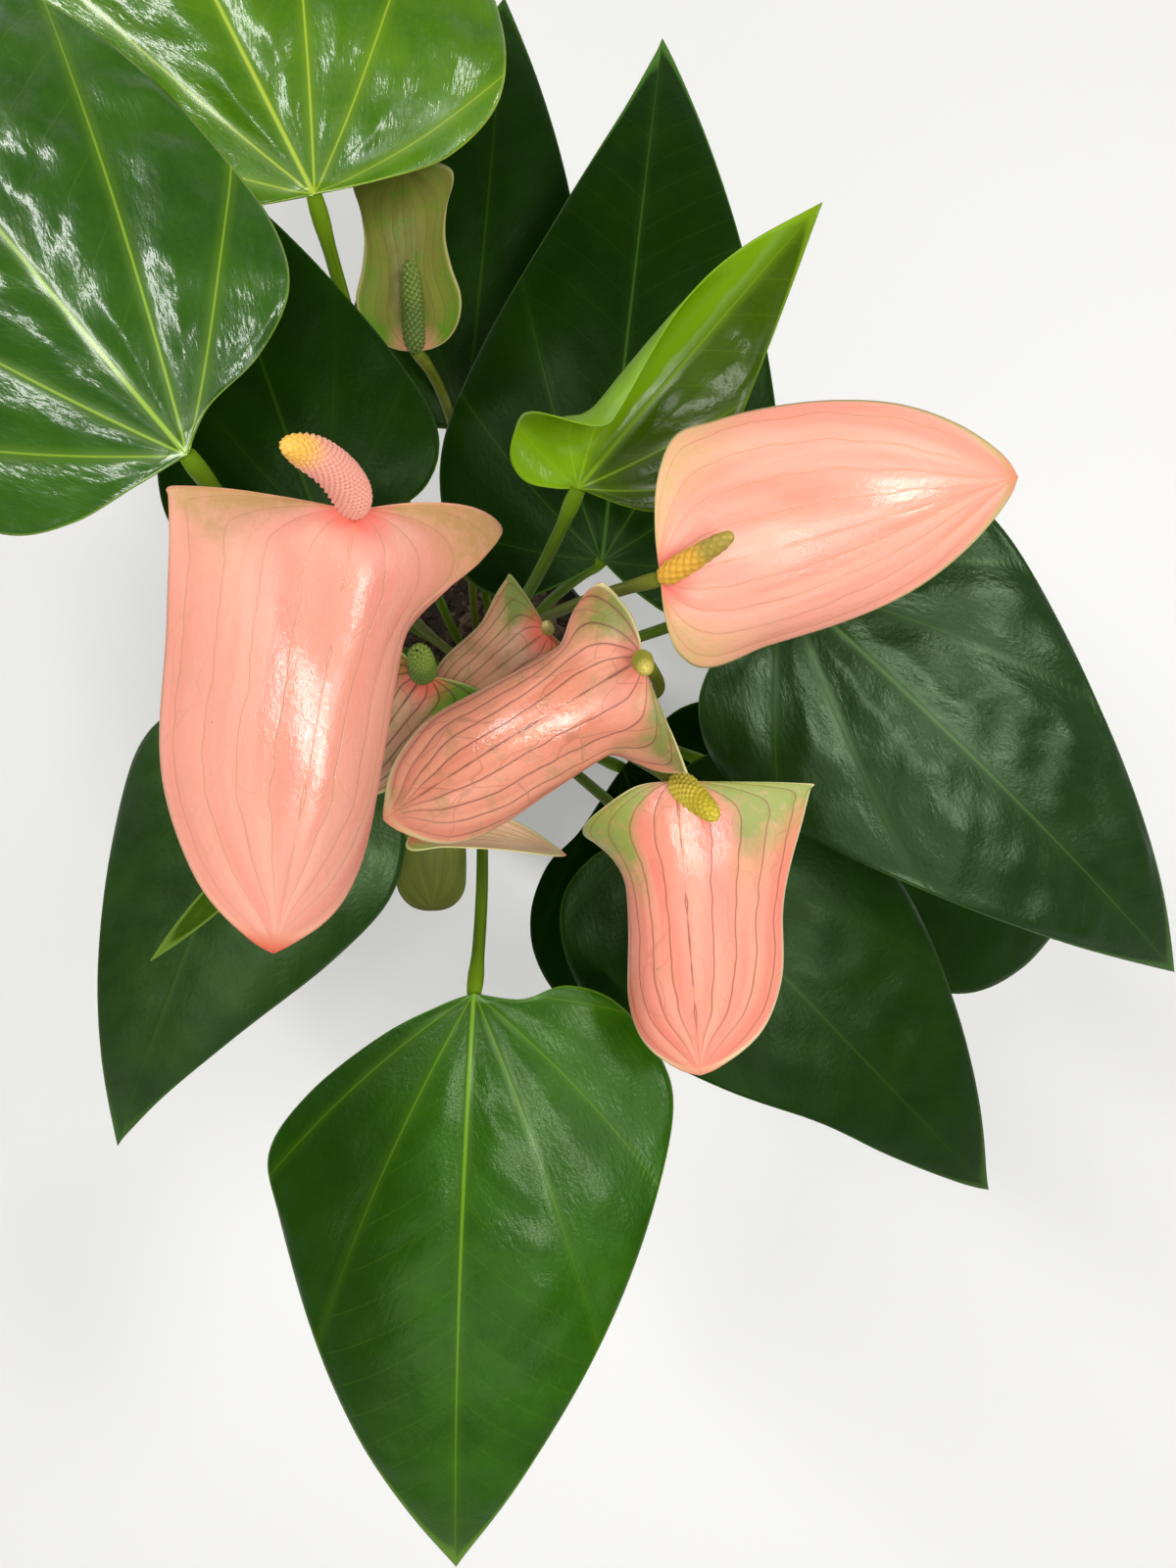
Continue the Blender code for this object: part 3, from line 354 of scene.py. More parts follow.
# How each bloom looks
SALMON_BLOOM = dict(body=(242, 168, 142), deep=(238, 148, 126), lobe=(200, 150, 98),
    blush=(234, 96, 80), tip=(226, 140, 108), vein=(176, 128, 84), shine=0.62, vein_share=0.50,
    lobe_share=0.9, lobe_from=(0.40, 0.85), lobe_end=0.40, edge=(232, 196, 158), network=0.08,
    roughness=0.19, matt_until=0.26, matt_from=1.2, stain=0.10, under=(206, 150, 112), size=(72, 84))
BLOOM_LOOKS = {
    "01": dict(SALMON_BLOOM, body=(228, 160, 138), deep=(224, 140, 122), lobe=(184, 138, 84),
        lobe_share=1.1, tip=(206, 84, 52), edge=(232, 166, 134), matt_from=0.80),
    "02": dict(SALMON_BLOOM, body=(248, 178, 156), lobe=(208, 174, 114), lobe_share=0.8,
        vein=(196, 134, 92), edge=(186, 176, 106), matt_until=0.50),
    "03": dict(SALMON_BLOOM, body=(242, 160, 134), deep=(236, 130, 110), blush=(226, 146, 116),
        lobe=(146, 156, 68), vein=(140, 76, 46), vein_share=0.85, lobe_share=1.25,
        lobe_from=(0.30, 0.52), lobe_end=0.46, edge=(232, 220, 170), network=0.06, matt_until=0.08,
        matt_from=0.46, stain=0.15),
    "04": dict(SALMON_BLOOM, body=(230, 156, 126), deep=(214, 128, 102), lobe=(128, 130, 60),
        blush=(206, 112, 88), vein=(112, 56, 38), vein_share=0.85, lobe_share=1.2,
        lobe_from=(0.38, 0.68), lobe_end=0.34, edge=(204, 194, 134), network=0.10, matt_until=0.36,
        stain=0.35),
    "05": dict(SALMON_BLOOM, body=(206, 160, 122), deep=(200, 136, 106), lobe=(118, 132, 58),
        vein=(106, 72, 44), vein_share=0.8, lobe_share=1.4, lobe_from=(0.20, 0.50),
        edge=(170, 170, 110), network=0.12, shine=0.4, roughness=0.40, stain=0.5, size=(48, 56)),
    "06": dict(SALMON_BLOOM, body=(206, 166, 130), deep=(190, 136, 106), lobe=(96, 142, 26),
        vein=(88, 54, 36), vein_share=0.9, lobe_share=1.4, lobe_from=(0.28, 0.52), edge=(170, 184, 110),
        network=0.12, shine=0.4, roughness=0.40, stain=0.5, size=(48, 56)),
    "07": dict(SALMON_BLOOM, body=(236, 196, 158), deep=(222, 176, 138), lobe=(168, 200, 84),
        vein=(140, 110, 70), edge=(206, 200, 130), under=(234, 192, 152), under_base=(170, 200, 84),
        lobe_share=1.2, size=(40, 48)),
    "08": dict(SALMON_BLOOM, body=(124, 128, 48), deep=(112, 110, 42), lobe=(88, 130, 20),
        blush=(216, 150, 118), tip=(104, 96, 56), vein=(80, 84, 34), vein_share=0.2, shine=0.25,
        roughness=0.42, stain=0.9, edge=(176, 166, 110), size=(48, 56)),
    "09": dict(SALMON_BLOOM, body=(108, 118, 44), deep=(92, 100, 34), lobe=(104, 120, 42),
        blush=(96, 100, 40), tip=(88, 96, 34), vein=(84, 92, 30), vein_share=0.25, shine=0.25,
        roughness=0.42, edge=(104, 112, 50), size=(40, 48)),
}
# gap is the colour of painted shade in the gaps between the florets
PINK_SPADIX = dict(low=(246, 168, 148), high=(244, 186, 70), turn=0.84, gap=(232, 146, 126),
    floret=1.35, height=0.95, calm=0.8)
GREEN_SPADIX = dict(low=(90, 116, 30), high=(112, 134, 40), turn=0.6, gap=(24, 38, 6), floret=1.35,
    height=1.10, calm=0.0)
SPADIX_LOOKS = {
    "01": PINK_SPADIX,
    "02": dict(PINK_SPADIX, low=(224, 168, 52), high=(164, 144, 56), turn=0.62, gap=(204, 150, 44),
        floret=2.2, height=0.45),
    "03": dict(PINK_SPADIX, low=(206, 188, 60), high=(196, 178, 40), turn=0.6, gap=(116, 92, 8),
        floret=1.75, height=0.90),
    "04": dict(PINK_SPADIX, low=(150, 150, 40), high=(206, 190, 90), gap=(80, 80, 12), floret=1.3,
        height=0.60),
    "05": dict(PINK_SPADIX, low=(176, 164, 74), high=(206, 194, 120), gap=(110, 100, 34), height=0.30),
    "06": GREEN_SPADIX,
    "07": GREEN_SPADIX,
    "08": dict(GREEN_SPADIX, low=(86, 108, 34), high=(104, 126, 44), floret=1.6),
    "09": GREEN_SPADIX,
}


def display(colour):
    """A linear colour from the 0 to 255 values that a screen shows."""
    return tuple(((part / 255 + 0.055) / 1.055) ** 2.4 if part > 10 else part / 255 / 12.92
                 for part in colour)


def linear(looks):
    """Looks with their colours made linear."""
    return SimpleNamespace(**{key: display(value) if key in COLOUR_KEYS else value
                              for key, value in looks.items()})


def scaled(colour, factor):
    """A lighter or darker shade of a linear colour."""
    return tuple(min(part * factor, 1.0) for part in colour)


def metres(sizes):
    """Sizes given in millimetres."""
    return np.array(sizes) / 1000


def half_outline(name):
    """A margin's points as (across, along), in half widths and lengths."""
    return [(0, 0), *((across / 100, along / 1000) for across, along in MARGINS[name]), (0, 1)]


def smooth(share):
    """A ramp from 0 to 1 that starts and ends level."""
    share = np.clip(share, 0, 1)
    return share * share * (3 - 2 * share)


def between(value, low, high):
    """A smooth step: 0 at the low value, 1 at the high one."""
    return smooth((value - low) / (high - low))


def bell(distance, width):
    """A bump of height 1 at no distance that fades over its width."""
    return np.exp(-(distance / width) ** 2)


def arc(distance, start, rate):
    """How far along and up a line gets that sets off at an angle and turns at an even rate."""
    rate = np.where(np.abs(rate) < 1e-6, 1e-6, rate)
    end = start + rate * distance
    return (np.sin(end) - np.sin(start)) / rate, (np.cos(start) - np.cos(end)) / rate


def spline(points, share):
    """Points on the smooth curve through a half outline's points, as across and along."""
    points = np.array(points)
    place = np.clip(share, 0, 1) * (len(points) - 1)
    index = np.minimum(place.astype(int), len(points) - 2)
    t = (place - index)[..., None]
    before, start, end, after = (points[np.clip(index + step, 0, len(points) - 1)]
                                 for step in (-1, 0, 1, 2))
    curve = (start * 2 + (end - before) * t + (before * 2 - start * 5 + end * 4 - after) * t ** 2
             + (start * 3 - before - end * 3 + after) * t ** 3) / 2
    return curve[..., 0], curve[..., 1]


def unit(vectors):
    """Vectors made 1 long."""
    return vectors / np.maximum(np.linalg.norm(vectors, axis=-1, keepdims=True), TINY)


class Blade:
    """A leaf blade or a spathe, as a sheet laid between the point of its stalk and its tip.

    The rules are those of the CAD source, for whole grids of points at once, with the same values.
    """

    def __init__(self, base, tip, half_width, margin, left_margin=None, neck=(0.4, 0.4), roll=0,
                 droop=40, fold=0, left=(-10, -20, -20), right=(-10, -20, -20),
                 forward=(0.0, 0.0), wave=(0, 2.5, 0.0)):
        self.base = metres(base)
        self.half_width = metres(half_width)
        self.margins = (half_outline(left_margin or margin), half_outline(margin))
        self.neck = neck
        self.droop = math.radians(droop)
        self.fold = math.radians(fold)
        self.turns = np.radians((left, right))
        self.forward = forward
        self.wave = wave
        chord = metres(tip) - self.base
        half = self.droop / 2
        self.length = np.linalg.norm(chord) * half / math.sin(half)
        along = unit(chord)
        across = unit(np.cross(along, UP))
        up = np.cross(across, along)
        tilt = math.radians(roll)
        self.frame = np.array((across * math.cos(tilt) - up * math.sin(tilt), along,
                               across * math.sin(tilt) + up * math.cos(tilt)))

    def normal(self):
        """The direction that the upper face looks in where the stalk meets it."""
        half = self.droop / 2
        return np.array((0, -math.sin(half), math.cos(half))) @ self.frame

    def turn(self, side, share):
        """How far the margin has turned up on one side, at a share of the length."""
        near, middle, far = self.turns[side]
        neck = self.neck[side]
        low = near + (middle - near) * smooth(share / neck)
        high = middle + (far - middle) * smooth((share - neck) / (1 - neck))
        return np.where(share < neck, low, high)

    def grid(self, size):
        """A grid of points: u and v, their places, where each lies on the flat sheet, and half widths."""
        columns, rows = size
        v, u = np.meshgrid(np.linspace(0, 1, rows + 1), np.linspace(-1, 1, columns + 1), indexing="ij")
        right = u >= 0
        edges = [spline(margin, v) for margin in self.margins]
        edge_across, edge_along = (np.where(right, *pair) for pair in zip(edges[1], edges[0]))
        rib_along = v ** 1.6
        across = np.abs(u) * edge_across * self.half_width
        forward = np.where(right, self.forward[1], self.forward[0])
        edge_along = edge_along + forward * edge_across * (1 - v) ** 1.5
        share = rib_along + (edge_along - rib_along) * u * u
        turn = np.where(right, self.turn(1, share), self.turn(0, share))
        out, lift = arc(across, self.fold, turn / self.half_width)
        side = np.where(right, 1, -1)
        height, count, phase = self.wave
        lift = lift + (metres(height) * edge_across * np.abs(u) ** 3
                       * np.sin(math.tau * count * v + phase + side))
        rib_y, rib_z = arc(share * self.length, self.droop / 2, -self.droop / self.length)
        slope = self.droop / 2 - self.droop * np.maximum(share, 0)
        local = np.stack((side * out, rib_y - lift * np.sin(slope), rib_z + lift * np.cos(slope)), -1)
        places = local @ self.frame + self.base
        return u, v, places, side * across, share * self.length, edge_across * self.half_width


def ripples(x, y, size, seed, waves=28):
    """A smooth random field of about unit height, with features of one size."""
    draw = np.random.default_rng(seed)
    total = np.zeros_like(x)
    for _ in range(waves):
        angle, phase = draw.uniform(0, math.tau, 2)
        turns = math.tau / size * draw.uniform(0.6, 1.7)
        total += np.sin(turns * (x * math.cos(angle) + y * math.sin(angle)) + phase)
    return total / math.sqrt(waves / 2)


def grid_normals(places):
    """The upper face's direction at each point of a grid whose first and last rows are poles."""
    normals = np.cross(np.gradient(places, axis=1), np.gradient(places, axis=0))
    normals[0] = normals[1].mean(0)
    normals[-1] = normals[-2].mean(0)
    return unit(normals)


def poled(grid):
    """A grid's vectors in a row, with the first and the last line of it as one point each."""
    return np.concatenate((grid[:1, 0], grid[1:-1].reshape(-1, 3), grid[-1:, 0]))


def linked(name, data):
    """A new object in the scene."""
    made = bpy.data.objects.new(name, data)
    bpy.context.scene.collection.objects.link(made)
    return made


def add_object(name, vertices, faces, material_indices, materials, fields):
    """An object of the plant from its vertices and faces, with point attributes for its material."""
    mesh = bpy.data.meshes.new(name)
    mesh.from_pydata(vertices.tolist(), [], faces)
    mesh.polygons.foreach_set("material_index", material_indices)
    mesh.polygons.foreach_set("use_smooth", [True] * len(mesh.polygons))
    for surface in materials:
        mesh.materials.append(surface)
    for field, values in fields.items():
        layer = mesh.attributes.new(field, "FLOAT_VECTOR", "POINT")
        layer.data.foreach_set("vector", np.asarray(values, np.float32).ravel())
    mesh.update()
    return linked(name, mesh)


def stand_for(made, node):
    """Puts a piece in the place of a CAD node: hangs it on the body and hides that node."""
    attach(made, BODY)
    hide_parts(node)


def sheet_object(name, places, relief, thickness, materials, fields):
    """A closed thin sheet from a grid raised by its relief: two faces and a rim round the margin."""
    places = places + grid_normals(places) * (relief * MM)[..., None]
    rows, columns = places.shape[:2]
    taper = 1 - EDGE_THINNING * np.abs(np.linspace(-1, 1, columns)) ** EDGE_SHARPNESS
    offset = grid_normals(places) * (thickness / 2 * taper)[None, :, None]
    layers = [poled(places + offset * side) for side in (1, -1)]
    count = len(layers[0])
    numbers = np.clip(np.arange(rows * columns).reshape(rows, columns) - columns + 1, 0, count - 1)
    numbers[-1] = count - 1
    numbers = numbers.tolist()
    faces, indices = [], []
    for row in range(rows - 1):
        for column in range(columns - 1):
            ring = tuple(dict.fromkeys((*numbers[row][column:column + 2],
                                        *numbers[row + 1][column:column + 2][::-1])))
            faces += [ring, tuple(index + count for index in reversed(ring))]
            indices += [0, 1]
        for column, step in ((0, 1), (columns - 1, -1)):
            near, far = numbers[row][column], numbers[row + 1][column]
            faces.append((near, far, far + count, near + count)[::step])
            indices.append(0)
    fields = {field: np.tile(poled(values), (2, 1)) for field, values in fields.items()}
    return add_object(name, np.concatenate(layers), faces, indices, materials, fields)


def tube_faces(rings, sides):
    """The faces of a closed tube made of rings of points."""
    faces = [tuple(reversed(range(sides)))]
    for start in range(0, (rings - 1) * sides, sides):
        for side in range(sides):
            this = start + side
            following = start + (side + 1) % sides
            faces.append((this, following, following + sides, this + sides))
    return faces + [tuple(range((rings - 1) * sides, rings * sides))]


def leaf_veins(x, y, length):
    """Signed distances from the veins that fan out, the count of side veins, and where these run."""
    across, along = np.abs(x) / MM, y / MM
    reach = np.hypot(across, along)
    angle = np.arctan2(across, along)
    fans = []
    for degrees, curve in zip(BASAL_VEINS, BASAL_VEIN_CURVE):
        heading = math.radians(degrees) * (1 - curve * reach / (length / MM))
        fans.append(reach * (angle - heading))
    swept = along - across * SIDE_VEIN_SLANT + SIDE_VEIN_CURVE * across ** 2
    return np.stack(fans, -1), swept / SIDE_VEIN_SPACING, between(-fans[0], -1.0, 5.0)


def make_leaf(name, stalk, shape):
    """A leaf: its veined blade and its petiole."""
    looks = linear(LEAF_LOOKS.get(name, DARK_LEAF))
    blade = Blade(**shape)
    u, v, places, x, y, half = blade.grid(looks.size)
    fans, side_veins, inside = leaf_veins(x, y, blade.length)
    seed = sum(map(ord, name))
    from_fan = np.abs(fans).min(-1)
    nearest = np.minimum(np.abs(x) / MM, from_fan)
    level = between(half * (1 - np.abs(u)) / MM, 0.0, 3.0) * between(half / MM, 1.0, 12.0)
    puffed = 1 - bell(nearest, PUFF_WIDTH)
    pleats = np.abs(np.sin(math.pi * side_veins)) * inside * between(nearest, 0, 8)
    stretched = ripples(x + 0.5 * y, (y - 0.9 * np.abs(x)) * 2.2, CREASE_SIZE, seed)
    creases = 1 - np.abs(stretched) + 0.5 * ripples(x, y, WRINKLE_SIZE, seed + 1)
    rib = bell(x / MM, RIB_WIDTH) * (1 - RIB_TAPER * y / blade.length)
    fan_ribs = bell(from_fan, RIB_WIDTH) * between(half / MM, 8, 20)
    swells = SWELL_SHARE * ripples(x, y, SWELL_SIZE, seed + 2) * puffed
    relief = looks.quilt * (puffed - PUFF_LEVEL + PLEAT_SHARE * pleats + swells)
    relief = relief + looks.crinkle * creases * puffed
    relief = relief * level + RIB_HEIGHT * (rib + 0.5 * fan_ribs) * level
    fields = {
        "flat": np.stack((x / MM, y / MM, y / blade.length), -1),
        "sheet": np.stack((u, v, half * (1 - np.abs(u)) / MM), -1),
        "fans": fans,
        "side": np.stack((side_veins, inside, nearest), -1),
    }
    materials = [leaf_material(name, looks), underside_material(name, looks)]
    made = sheet_object(name + "_blade", places, relief, LEAF_THICKNESS, materials, fields)
    stand_for(made, name)
    petiole = stalk_object(name + "_petiole", stalk_path(blade.base, **stalk), PETIOLE_RADIUS,
                           PETIOLE_TOP_RADIUS, stalk_material(name + "_petiole", PETIOLE_GREEN))
    stand_for(petiole, name)


def stalk_path(top, root, lean, heading=None):
    """The stalk's line: straight up out of the growing medium, then leaning over to its top."""
    foot = np.array((*metres(root), MEDIUM_TOP))
    reach = top - foot
    turn = math.atan2(reach[1], reach[0]) if heading is None else math.radians(heading)
    end_direction = unit(np.array((lean * math.cos(turn), lean * math.sin(turn), 1)))
    length = np.linalg.norm(reach)
    handle_low = foot + UP * length * 0.40
    handle_high = top - end_direction * length * 0.30
    t = np.linspace(0, 1, STALK_RINGS)[:, None]
    curve = (foot * (1 - t) ** 3 + handle_low * 3 * t * (1 - t) ** 2
             + handle_high * 3 * t ** 2 * (1 - t) + top * t ** 3)
    return np.concatenate(([foot - UP * (STALK_DEPTH - CLEARANCE)], curve))


def stalk_object(name, path, radius, top_radius, surface):
    """A round stalk along its line, thicker at the foot and swollen just below its top."""
    ahead = unit(np.gradient(path, axis=0))
    across = unit(np.cross(ahead, (1.0, 0.3, 0.0)))
    other = np.cross(ahead, across)
    along = np.concatenate(([0], np.cumsum(np.linalg.norm(np.diff(path, axis=0), axis=1))))
    swelling = bell(along[-1] - along - SWELLING_PLACE, SWELLING_PLACE)
    girth = radius * (1 + FOOT_SWELLING * np.exp(-along / FOOT_HEIGHT)) + (top_radius - radius) * swelling
    angles = np.linspace(0, math.tau, STALK_SIDES, endpoint=False)
    spokes = angles[None, :, None]
    ring = np.cos(spokes) * across[:, None] + np.sin(spokes) * other[:, None]
    grooves = 1 + STALK_GROOVE * np.sin(angles * 5)[None, :, None]
    vertices = path[:, None] + ring * girth[:, None, None] * grooves
    share, swelling, angle = np.broadcast_arrays((along / along[-1])[:, None], swelling[:, None], angles)
    faces = tube_faces(len(path), STALK_SIDES)
    return add_object(name, vertices.reshape(-1, 3), faces, [0] * len(faces), [surface],
                      {"stalk": np.stack((share, swelling, angle), -1)})


def make_bloom(number, stalk, shape, spike):
    """A bloom: its stem, its veined spathe and its spadix."""
    looks = linear(BLOOM_LOOKS[number])
    spathe = Blade(**shape)
    u, v, places, x, y, half = spathe.grid(looks.size)
    seed = int(number) * 17
    level = between(half * (1 - np.abs(u)) / MM, 0.0, 2.0) * between(half / MM, 3.0, 18.0)
    lanes = np.abs(u) * SPATHE_VEINS
    gap = np.abs(lanes - np.round(lanes)) * half / SPATHE_VEINS / MM
    relief = (GROOVE_DEPTH * (1 - bell(gap, GROOVE_WIDTH))
              + SPATHE_SWELL * ripples(x, y, SPATHE_SWELL_SIZE, seed))
    relief = (relief * min(spathe.half_width / FULL_RELIEF_WIDTH, 1)
              + SPATHE_GRAIN * ripples(x, y, SPATHE_GRAIN_SIZE, seed + 1))
    fields = {
        "flat": np.stack((x / MM, y / MM, y / spathe.length), -1),
        "sheet": np.stack((u, v, half / MM), -1),
    }
    name = f"spathe_{number}"
    materials = [spathe_material(name, looks), underside_material(name, looks)]
    made = sheet_object(name + "_sheet", places, relief * level, SPATHE_THICKNESS, materials, fields)
    stand_for(made, name)
    path = stalk_path(spathe.base, **stalk)
    path[-1] -= spathe.normal() * SPATHE_THICKNESS / 2
    name = f"flower_stem_{number}"
    stem = stalk_object(name + "_stalk", path, BLOOM_STEM_RADIUS,
                        BLOOM_STEM_RADIUS * BLOOM_STEM_FLARE, stalk_material(name, BLOOM_STEM_GREEN))
    stand_for(stem, name)
    make_spadix(number, spathe, **spike)


def make_spadix(number, spathe, axis, radius, bend=(0, 0, 0)):
    """A spadix: a blunt tapered spike set all over with florets in spirals."""
    name = f"spadix_{number}"
    looks = linear(SPADIX_LOOKS[number])
    axis, radius, bend = metres(axis), metres(radius), metres(bend)
    normal = spathe.normal()
    length = np.linalg.norm(axis)
    base = spathe.base + normal * (SPATHE_THICKNESS / 2 + CLEARANCE)
    direction = unit(axis)
    aside = unit(np.cross(direction, (0.3, 0.9, 0.1)))
    other = np.cross(direction, aside)

    def girth(share):
        blunt = np.maximum(1 - np.abs(2 * share - 1) ** SPADIX_BLUNTNESS, 0) ** 0.5
        return radius * blunt * (SPADIX_FOOT - SPADIX_TAPER * share)

    def outward(angle):
        return np.cos(angle)[..., None] * aside + np.sin(angle)[..., None] * other

    def skin(share, angle):
        bow = (4 * share * (1 - share))[..., None] * bend
        middle = (share * length)[..., None] * direction + bow
        return base + middle + outward(angle) * girth(share)[..., None]

    # Florets share out the skin's area, and rings of points share out its run from base to tip
    spacing = looks.floret * MM
    steps = np.linspace(0, 1, 400)
    strips = np.hypot(np.diff(steps) * length, np.diff(girth(steps)))
    run = np.append(0, np.cumsum(strips))
    area = np.append(0, np.cumsum(math.tau * girth(steps[1:]) * strips))
    count = int(area[-1] / (FLORET_PACKING * spacing ** 2))
    order = np.interp((np.arange(count) + 0.5) / count * area[-1], area, steps)
    centres = skin(order, np.arange(count) * GOLDEN_ANGLE)
    rings = max(int(run[-1] / SPADIX_STEP), 40)
    sides = max(int(math.tau * radius / SPADIX_STEP), 32)
    levels = np.interp(np.linspace(0, run[-1], rings + 1), run, steps)
    share, angle = np.meshgrid(levels, np.linspace(0, math.tau, sides, endpoint=False), indexing="ij")
    places = skin(share, angle)
    slope = np.gradient(girth(levels), levels * length)
    normals = unit(outward(angle) - slope[:, None, None] * direction)
    flat = places.reshape(-1, 3)
    apart = np.sqrt(((flat[:, None] - centres[None]) ** 2).sum(-1).min(1)).reshape(share.shape)
    dome = np.clip(1 - (apart / (spacing * FLORET_REACH)) ** 2, 0, 1) ** FLORET_ROUNDNESS
    nib = bell(apart, spacing * NIB_WIDTH)
    proud = (looks.height * (dome - 0.5) + NIB_HEIGHT * looks.height * nib) * MM
    proud *= between(girth(share), 0, 0.3 * radius)
    proud *= 1 - 0.6 * looks.calm * between(share, looks.turn - 0.06, looks.turn + 0.08)
    grown = places + normals * proud[..., None]
    grown -= np.minimum((grown - base) @ normal, 0)[..., None] * normal
    faces = tube_faces(rings + 1, sides)
    made = add_object(name + "_florets", grown.reshape(-1, 3), faces, [0] * len(faces),
                      [spadix_material(name, looks)], {"floret": np.stack((share, dome, nib), -1)})
    stand_for(made, name)


class Surface:
    """A material with short calls for the nodes that this plant's surfaces are made of."""

    def __init__(self, name, **settings):
        self.made = bpy.data.materials.new(name)
        self.made.use_nodes = True
        self.nodes = self.made.node_tree.nodes
        self.links = self.made.node_tree.links
        self.shader = self.nodes["Principled BSDF"]
        for socket, value in settings.items():
            self.set(socket.replace("_", " "), value)

    def set(self, socket, value):
        """Gives one of the shader's sockets its value."""
        self.feed(self.shader.inputs[socket], value)

    def feed(self, socket, value):
        """Links a node's output to a socket, or sets a plain value on it."""
        if isinstance(value, bpy.types.NodeSocket):
            self.links.new(value, socket)
        elif isinstance(value, tuple) and len(value) == 3 and socket.type == "RGBA":
            socket.default_value = (*value, 1)
        else:
            socket.default_value = value

    def node(self, kind, inputs, output=0, **settings):
        """A node with its settings and inputs, as one of its outputs."""
        made = self.nodes.new(kind)
        for setting, value in settings.items():
            setattr(made, setting, value)
        for socket, value in inputs.items():
            self.feed(made.inputs[socket], value)
        return made.outputs[output]

    def field(self, name):
        """The three parts of a point attribute."""
        split = self.nodes.new("ShaderNodeSeparateXYZ")
        self.feed(split.inputs[0], self.node("ShaderNodeAttribute", {}, 1, attribute_name=name))
        return split.outputs[0], split.outputs[1], split.outputs[2]

    def place(self):
        """The place on the object, in metres."""
        return self.node("ShaderNodeTexCoord", {}, 3)

    def calc(self, operation, *values):
        """One step of arithmetic."""
        return self.node("ShaderNodeMath", dict(enumerate(values)), operation=operation)

    def size(self, value):
        """A value without its sign."""
        return self.calc("ABSOLUTE", value)

    def times(self, product, *values):
        """The product of its values."""
        for value in values:
            product = self.calc("MULTIPLY", product, value)
        return product

    def largest(self, most, *values):
        """The largest of its values."""
        for value in values:
            most = self.calc("MAXIMUM", most, value)
        return most

    def off_whole(self, value):
        """How far a value is from the nearest whole number."""
        return self.size(self.calc("SUBTRACT", value, self.calc("ROUND", value)))

    def ramp(self, value, low, high, start=0.0, end=1.0):
        """A smooth step of a value from start to end."""
        return self.node("ShaderNodeMapRange", {0: value, 1: low, 2: high, 3: start, 4: end},
                         interpolation_type="SMOOTHSTEP")

    def vector(self, x, y, z=0.0):
        """A vector from its three parts."""
        return self.node("ShaderNodeCombineXYZ", {0: x, 1: y, 2: z})

    def noise(self, place, scale, detail=2.0, roughness=0.5):
        """A noise value of about 0.5 on average."""
        return self.node("ShaderNodeTexNoise", {"Vector": place, "Scale": scale, "Detail": detail,
                                                "Roughness": roughness})

    def cells(self, place, scale, output=0, **settings):
        """A pattern of uneven cells."""
        return self.node("ShaderNodeTexVoronoi", {"Vector": place, "Scale": scale}, output, **settings)

    def paint(self, colour):
        """Gives the whole surface a colour."""
        self.colour = colour
        self.set("Base Color", colour)

    def tint(self, share, colour):
        """Blends a colour over what is painted so far."""
        self.paint(self.node("ShaderNodeMix", {0: share, 6: self.colour, 7: colour}, 2,
                             data_type="RGBA"))

    def bump(self, height, distance, strength):
        """Sends a height through a bump node to the normals of the shader and its coat."""
        normal = self.node("ShaderNodeBump", {"Height": height, "Distance": distance,
                                              "Strength": strength})
        self.set("Normal", normal)
        self.set("Coat Normal", normal)


